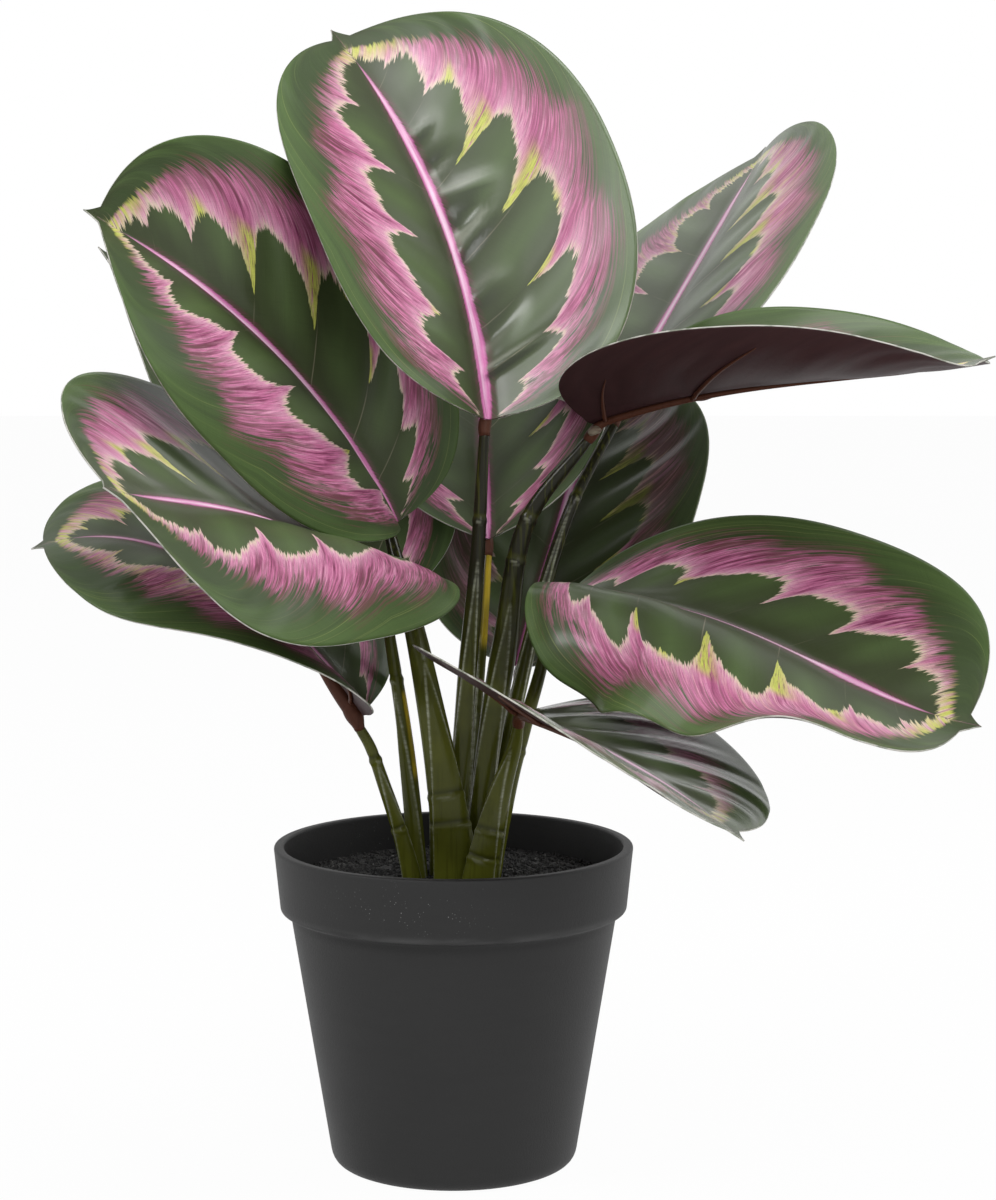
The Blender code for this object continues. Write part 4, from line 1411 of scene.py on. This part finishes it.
    def stalk(self, finish: bpy.types.Material) -> bpy.types.Object:
        """Build the stalk: an oval bar with node rings and a sheath that wraps its lower part.

        The sheath stands a little proud inside an angle that closes towards the sheath's tip, and its
        two edges carry the pale flash.

        Args:
            finish: The stalk's plastic.

        Returns:
            The stalk.
        """
        stalk = self.shape.stalk
        corner, direction = self.collar()
        knots = np.array([(*stalk.foot, STALK_FOOT), (*stalk.foot, STALK_CLEAR), *stalk.waypoints,
                          tuple(corner - direction * STALK_END)], float)
        path = route_through(knots, self.stalk_stations)
        heights = path[:, 2:]
        wide_by, deep_by = (np.interp(np.linspace(0.0, 1.0, self.stalk_stations), [0.0, 0.06, 0.5, 1.0],
                                      [halves[0], *halves])[:, None] for halves in zip(*stalk.halves))
        tangents = unit(np.gradient(path, axis=0))
        tangents[-1] = direction
        wide = unit(np.array([1.0, 0.0, 0.0]) - tangents * tangents[:, :1])
        deep = np.cross(tangents, wide)
        angles = circle_angles(self.stalk_sides)[None]
        tip, facing, opening = stalk.sheath
        open_now = np.radians(opening) * np.clip((tip - heights) / (tip - SOIL_TOP), 0.0, 1.0) ** 0.75
        within = open_now - angle_away(angles, facing)
        sheath = smooth_step(within, -0.12, 0.12) * (heights < tip)
        edge = bell(within, 0.16) * smooth_step(heights, tip, tip - 6.0)
        line = bell(within * wide_by, 0.34) * smooth_step(heights, tip, tip - 2.0) * np.clip(
            open_now / 0.5, 0.3, 0.9)
        over = [heights - height for height in stalk.rings]
        ring = sum(bell(above, RING_WIDTH) for above in over)
        groove = sum(bell(above - GROOVE_OVER_RING, GROOVE_WIDTH) for above in over)
        proud = 1.0 + (RING_HEIGHT * ring - GROOVE_DEPTH * groove + SHEATH_PROUD * sheath
                       + SHEATH_EDGE_PROUD * edge) / wide_by
        rings = path[:, None] + proud[..., None] * (
            wide[:, None] * (np.cos(angles) * wide_by)[..., None]
            + deep[:, None] * (np.sin(angles) * deep_by)[..., None])
        dashes = smooth_step(np.sin(3.0 * angles + 0.9 * heights), 0.2, 0.8)
        # Pale flash on the sheath's edges and ring dashes, less painted shade in the groove above each ring.
        flash = np.clip(line + 0.3 * ring * dashes, 0.0, 1.0) - 0.8 * groove * (1.0 - line)
        amber = np.zeros_like(flash)
        if stalk.amber:
            low, high, facing, opening = stalk.amber
            away, opening = angle_away(angles, facing), math.radians(opening)
            amber = (smooth_step(away, opening, 0.5 * opening) * smooth_step(heights, low, low + 5.0)
                     * smooth_step(heights, high, high - 3.0))
        points, faces = closed_rings(rings, path[0], path[-1])
        marks = {"flash": np.append(flash, [0.0, 0.0]), "amber": np.append(amber, [0.0, 0.0])}
        return add_piece("stem_" + self.shape.name, points * MM, faces, [finish], marks=marks)


# ---------------------------------------------------------------- pot and soil


@dataclass
class Pot:
    """The turned pot: a rim band, a soft undercut, a tapering body and a rounded foot (millimetres)."""

    height: float = 108.0
    rim_radius: float = 60.0
    rim_wall: float = 3.4
    band_height: float = 21.5
    band_foot_radius: float = 57.8
    body_top_radius: float = 54.0
    body_foot_radius: float = 40.6
    foot_rounding: float = 5.0
    body_wall: float = 2.6
    floor: float = 3.5
    segments: int = 192
    corner_points: int = 9
    longest_run: float = 6.0

    def profile(self) -> np.ndarray:
        """List the half profile from the inner floor over the rim to the underside, corners rounded.

        Returns:
            Radius and height of each point.
        """
        band_foot = self.height - self.band_height
        rim_inner = self.rim_radius - self.rim_wall
        corners = [(0.0, self.floor, 0.0), (self.body_foot_radius - self.body_wall, self.floor, 2.0),
                   (self.body_top_radius - self.body_wall, band_foot - 3.0, 2.0),
                   (rim_inner - 1.4, band_foot + 3.0, 2.0), (rim_inner, self.height, 0.9),
                   (self.rim_radius, self.height, 1.1), (self.band_foot_radius, band_foot, 1.0),
                   (self.body_top_radius + 0.6, band_foot - 0.5, 1.4),
                   (self.body_foot_radius, 0.0, self.foot_rounding), (0.0, 0.0, 0.0)]
        points = [np.array([corners[0][:2]])]
        for before, corner, after in zip(corners, corners[1:], corners[2:]):
            here = np.array(corner[:2])
            to, on = np.array(before[:2]) - here, np.array(after[:2]) - here
            cut = min(corner[2], 0.45 * np.linalg.norm(to), 0.45 * np.linalg.norm(on))
            first, last = here + unit(to) * cut, here + unit(on) * cut
            part = np.linspace(0.0, 1.0, self.corner_points)[:, None]
            points.append((1 - part) ** 2 * first + 2 * part * (1 - part) * here + part ** 2 * last)
        points.append(np.array([corners[-1][:2]]))
        return np.vstack(points)

    def build(self, finish: bpy.types.Material) -> bpy.types.Object:
        """Turn the profile about Z: x = r cos a, y = r sin a; the ends meet the axis in one point each.

        Args:
            finish: The pot's plastic.

        Returns:
            The pot.
        """
        profile = self.subdivided()
        radii, heights = profile[1:-1, :1], profile[1:-1, 1:]
        angles = circle_angles(self.segments)
        rings = np.stack([radii * np.cos(angles), radii * np.sin(angles),
                          np.repeat(heights, self.segments, axis=1)], axis=-1)
        points, faces = closed_rings(rings, np.array([0.0, 0.0, profile[0, 1]]),
                                     np.array([0.0, 0.0, profile[-1, 1]]), turned_over=True)
        return add_piece("pot_shell", points * MM, faces, [finish])

    def subdivided(self) -> np.ndarray:
        """Split long runs of the profile so that shading stays even.

        Returns:
            Radius and height of each point.
        """
        profile, parts = self.profile(), []
        for start, end in zip(profile[:-1], profile[1:]):
            pieces = max(1, int(np.linalg.norm(end - start) / self.longest_run))
            parts.append(start + (end - start) * (np.arange(pieces) / pieces)[:, None])
        return np.vstack(parts + [profile[-1:]])


OCTAHEDRON_POINTS = np.array([(1, 0, 0), (-1, 0, 0), (0, 1, 0), (0, -1, 0), (0, 0, 1), (0, 0, -1)], float)
OCTAHEDRON_FACES = np.array([(4, 0, 2), (4, 2, 1), (4, 1, 3), (4, 3, 0), (5, 2, 0), (5, 1, 2), (5, 3, 1),
                             (5, 0, 3)])


@dataclass
class Soil:
    """The plug of filler with a lumpy top and loose grains (millimetres)."""

    top: float = SOIL_TOP
    radius: float = 55.0
    depth: float = 6.0
    rings: int = 60
    segments: int = 150
    grain_count: int = 5200
    grain_size: tuple[float, float] = (0.45, 1.25)
    wall_gap: float = 1.2
    lump_height: float = 0.35
    mound_height: float = 0.9
    mound_reach: tuple[float, float] = (22.0, 18.0)
    seed: int = 11

    def ground(self, x: np.ndarray, y: np.ndarray) -> np.ndarray:
        """Return the lumpy ground's height: sums of slow waves, a little higher round the stalks.

        Args:
            x: Places to the right.
            y: Places to the back.

        Returns:
            The heights.
        """
        lumps = (np.sin(x * 0.31 + 1.3) * np.cos(y * 0.27 - 0.4) + 0.6 * np.sin(x * 0.73 - y * 0.61)
                 + 0.35 * np.sin(x * 1.9 + 0.5) * np.sin(y * 1.7))
        across, deep = self.mound_reach
        mound = np.exp(-((x / across) ** 2 + (y / deep) ** 2))
        return self.top + self.lump_height * lumps + self.mound_height * mound

    def bed(self, finish: bpy.types.Material) -> bpy.types.Object:
        """Build the ground as a closed disc: rings of points, a wall down and a flat underside.

        Args:
            finish: The grains' finish.

        Returns:
            The bed.
        """
        angles = circle_angles(self.segments)
        radii = np.linspace(self.radius / self.rings, self.radius, self.rings)[:, None]
        x, y = radii * np.cos(angles), radii * np.sin(angles)
        top = np.stack([x, y, self.ground(x, y)], axis=-1)
        underside = np.array([0.0, 0.0, self.top - self.depth])
        wall = top[-1:] * np.array([1.0, 1.0, 0.0]) + underside
        middle = np.array([0.0, 0.0, self.ground(np.zeros(1), np.zeros(1))[0]])
        points, faces = closed_rings(np.concatenate([top, wall]), middle, underside, turned_over=True)
        return add_piece("soil_bed", points * MM, faces, [finish])

    def grains(self, finish: bpy.types.Material) -> bpy.types.Object:
        """Scatter small eight-sided lumps over the ground, each turned and squashed its own way.

        Args:
            finish: The grains' finish.

        Returns:
            The grains as one piece.
        """
        rng = np.random.default_rng(self.seed)
        radius = (self.radius - self.wall_gap) * np.sqrt(rng.random(self.grain_count))
        angle = rng.random(self.grain_count) * 2.0 * math.pi
        x, y = radius * np.cos(angle), radius * np.sin(angle)
        smallest, largest = self.grain_size
        size = smallest + (largest - smallest) * rng.random(self.grain_count) ** 2.2
        z = self.ground(x, y) + 0.25 * size
        shape = OCTAHEDRON_POINTS[None] * (0.6 + 0.5 * rng.random((self.grain_count, 6, 1)))
        axes, _ = np.linalg.qr(rng.normal(size=(self.grain_count, 3, 3)))
        axes *= np.sign(np.linalg.det(axes))[:, None, None]
        points = np.einsum("nij,nkj->nki", axes, shape) * size[:, None, None]
        points = (points + np.stack([x, y, z], 1)[:, None]).reshape(-1, 3)
        faces = OCTAHEDRON_FACES[None] + 6 * np.arange(self.grain_count)[:, None, None]
        piece = add_piece("soil_grains", points * MM, faces.reshape(-1, 3).tolist(), [finish])
        piece.data.shade_flat()
        return piece


# ---------------------------------------------------------------- stage


@dataclass
class Stage:
    """Pale floor, soft studio light and the camera (metres, degrees, millimetres of lens).

    ambient: the world's light on the object.
    floor_glow: how much of the floor's look is plain white, which leaves the rest for the shadow.
    aim: the point that every lamp faces.
    lamps: name, place, side and power in watts of each soft square lamp.
    """

    camera_place: Place = (0.0148, -1.063, 0.3177)
    camera_pitch: float = -6.85
    lens: float = 97.05
    ambient: float = 0.2
    floor_reach: float = 4.0
    floor_glow: float = 0.97
    aim: Place = (0.02, 0.0, 0.22)
    lamps: tuple[tuple[str, Place, float, float], ...] = (
        ("overhead", (0.1, -0.15, 1.55), 0.8, 9.0), ("left_front", (-1.0, -0.66, 1.24), 0.45, 8.5),
        ("right_back", (0.95, 0.1, 1.0), 0.5, 5.0), ("front", (0.5, -1.45, 0.7), 0.7, 6.0))

    def floor(self) -> None:
        """Lay a pale floor that looks white to the camera and keeps the object's shadow."""
        graph = Finish("floor_paint")
        tone = graph.noise(graph.object_place(), 3.0, 2.0, 0.5)
        graph.finish(graph.mix(tone * 0.3, (0.93, 0.93, 0.93), (0.96, 0.96, 0.96)), 0.9,
                     Specular_IOR_Level=0.1)
        glow = graph.value("ShaderNodeEmission", None, {"Color": WHITE, "Strength": 1.0})
        share = graph.seen_directly() * self.floor_glow
        graph.fill(graph.output, {"Surface": graph.value("ShaderNodeMixShader", None, {
            0: share, 1: graph.surface, 2: glow})})
        corners = self.floor_reach * np.array([(-1.0, -1.0, 0.0), (1.0, -1.0, 0.0), (1.0, 1.0, 0.0),
                                               (-1.0, 1.0, 0.0)])
        add_piece("floor", corners, [[0, 1, 2, 3]], [graph.material])

    def world(self) -> None:
        """Light the room evenly and show white behind the object."""
        world = bpy.data.worlds.new("studio")
        graph = Graph(world)
        strength = self.ambient + graph.seen_directly() * (1.0 - self.ambient)
        background = graph.value("ShaderNodeBackground", None, {"Color": WHITE, "Strength": strength})
        graph.node("ShaderNodeOutputWorld", None, {"Surface": background})
        bpy.context.scene.world = world

    def lamp(self, name: str, place: Place, size: float, power: float) -> None:
        """Hang one soft square lamp.

        Args:
            name: The lamp's name.
            place: Where it hangs.
            size: Its side.
            power: Its power in watts.
        """
        light = bpy.data.lights.new(name, "AREA")
        light.size = size
        light.energy = power
        lamp = bpy.data.objects.new(name, light)
        bpy.context.scene.collection.objects.link(lamp)
        lamp.location = place
        lamp.rotation_euler = (Vector(self.aim) - Vector(place)).to_track_quat("-Z", "Y").to_euler()

    def camera(self) -> None:
        """Set the camera."""
        lens = bpy.data.cameras.new("view")
        lens.lens = self.lens
        camera = bpy.data.objects.new("view", lens)
        camera.location = self.camera_place
        camera.rotation_euler = (math.radians(90.0 + self.camera_pitch), 0.0, 0.0)
        bpy.context.scene.collection.objects.link(camera)
        bpy.context.scene.camera = camera

    def build(self) -> None:
        """Build the stage."""
        self.floor()
        self.world()
        for lamp in self.lamps:
            self.lamp(*lamp)
        self.camera()
        bpy.context.scene.view_settings.view_transform = "Standard"


# ---------------------------------------------------------------- assembly


class Plastic(Enum):
    """The moulded plastics of the plant."""

    OLIVE = Moulded(low=linear(108, 113, 38), high=linear(33, 33, 20), roughness=0.16)
    BROWN = Moulded(low=linear(84, 48, 34), high=linear(84, 50, 36), roughness=0.45,
                    height_range=(0.15, 0.26))


@dataclass
class Plant:
    """Puts the pieces together and names what each stands for."""

    pot: Pot = field(default_factory=Pot)
    soil: Soil = field(default_factory=Soil)

    @staticmethod
    def keep(piece: bpy.types.Object, slot: str, *nodes: str) -> None:
        """Let a piece ride on the plant's one body and stand for its nodes.

        Args:
            piece: The finished piece.
            slot: Not used.
            nodes: The frame's nodes that it replaces.
        """
        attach(piece, ROOT)
        if nodes:
            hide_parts(*nodes)
        LOG.info("%s: %d faces, stands for %s", piece.name, len(piece.data.polygons),
                 ", ".join(nodes) or "none")

    def build(self) -> None:
        """Build every piece of the plant."""
        self.keep(self.pot.build(PotPlastic().material("pot_plastic")), "pot_charcoal", "pot")
        grains = Grains().material("black_grains")
        self.keep(self.soil.bed(grains), "soil_black", "soil")
        self.keep(self.soil.grains(grains), "soil_black")
        under = Underside().material("maroon_underside")
        edge = CutEdge().material("cut_edge")
        olive = Plastic.OLIVE.value.material("olive_plastic")
        brown = Plastic.BROWN.value.material("brown_plastic")
        for number, shape in enumerate(LEAVES):
            leaf = Leaf(shape)
            top = LeafPrint(seed=float(number), fade=shape.fade, gloss=shape.gloss, sour=shape.sour,
                            creased=shape.creases > 0.0, slim=shape.slim).material("print_" + shape.name)
            self.keep(leaf.blade(top, under, edge), "printed_leaf", "leaf_" + shape.name)
            self.keep(leaf.rib(brown), "rib_brown", "rib_" + shape.name)
            self.keep(leaf.stalk(olive), "stalk_olive", "stalk_" + shape.name)


def write_size() -> None:
    """Bring the view layer up to date."""
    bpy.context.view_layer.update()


def main() -> None:
    """Build the plant and its stage."""
    logging.basicConfig(level=logging.INFO, format="%(message)s")
    Plant().build()
    Stage().build()
    write_size()


if __name__ == "__main__":
    main()
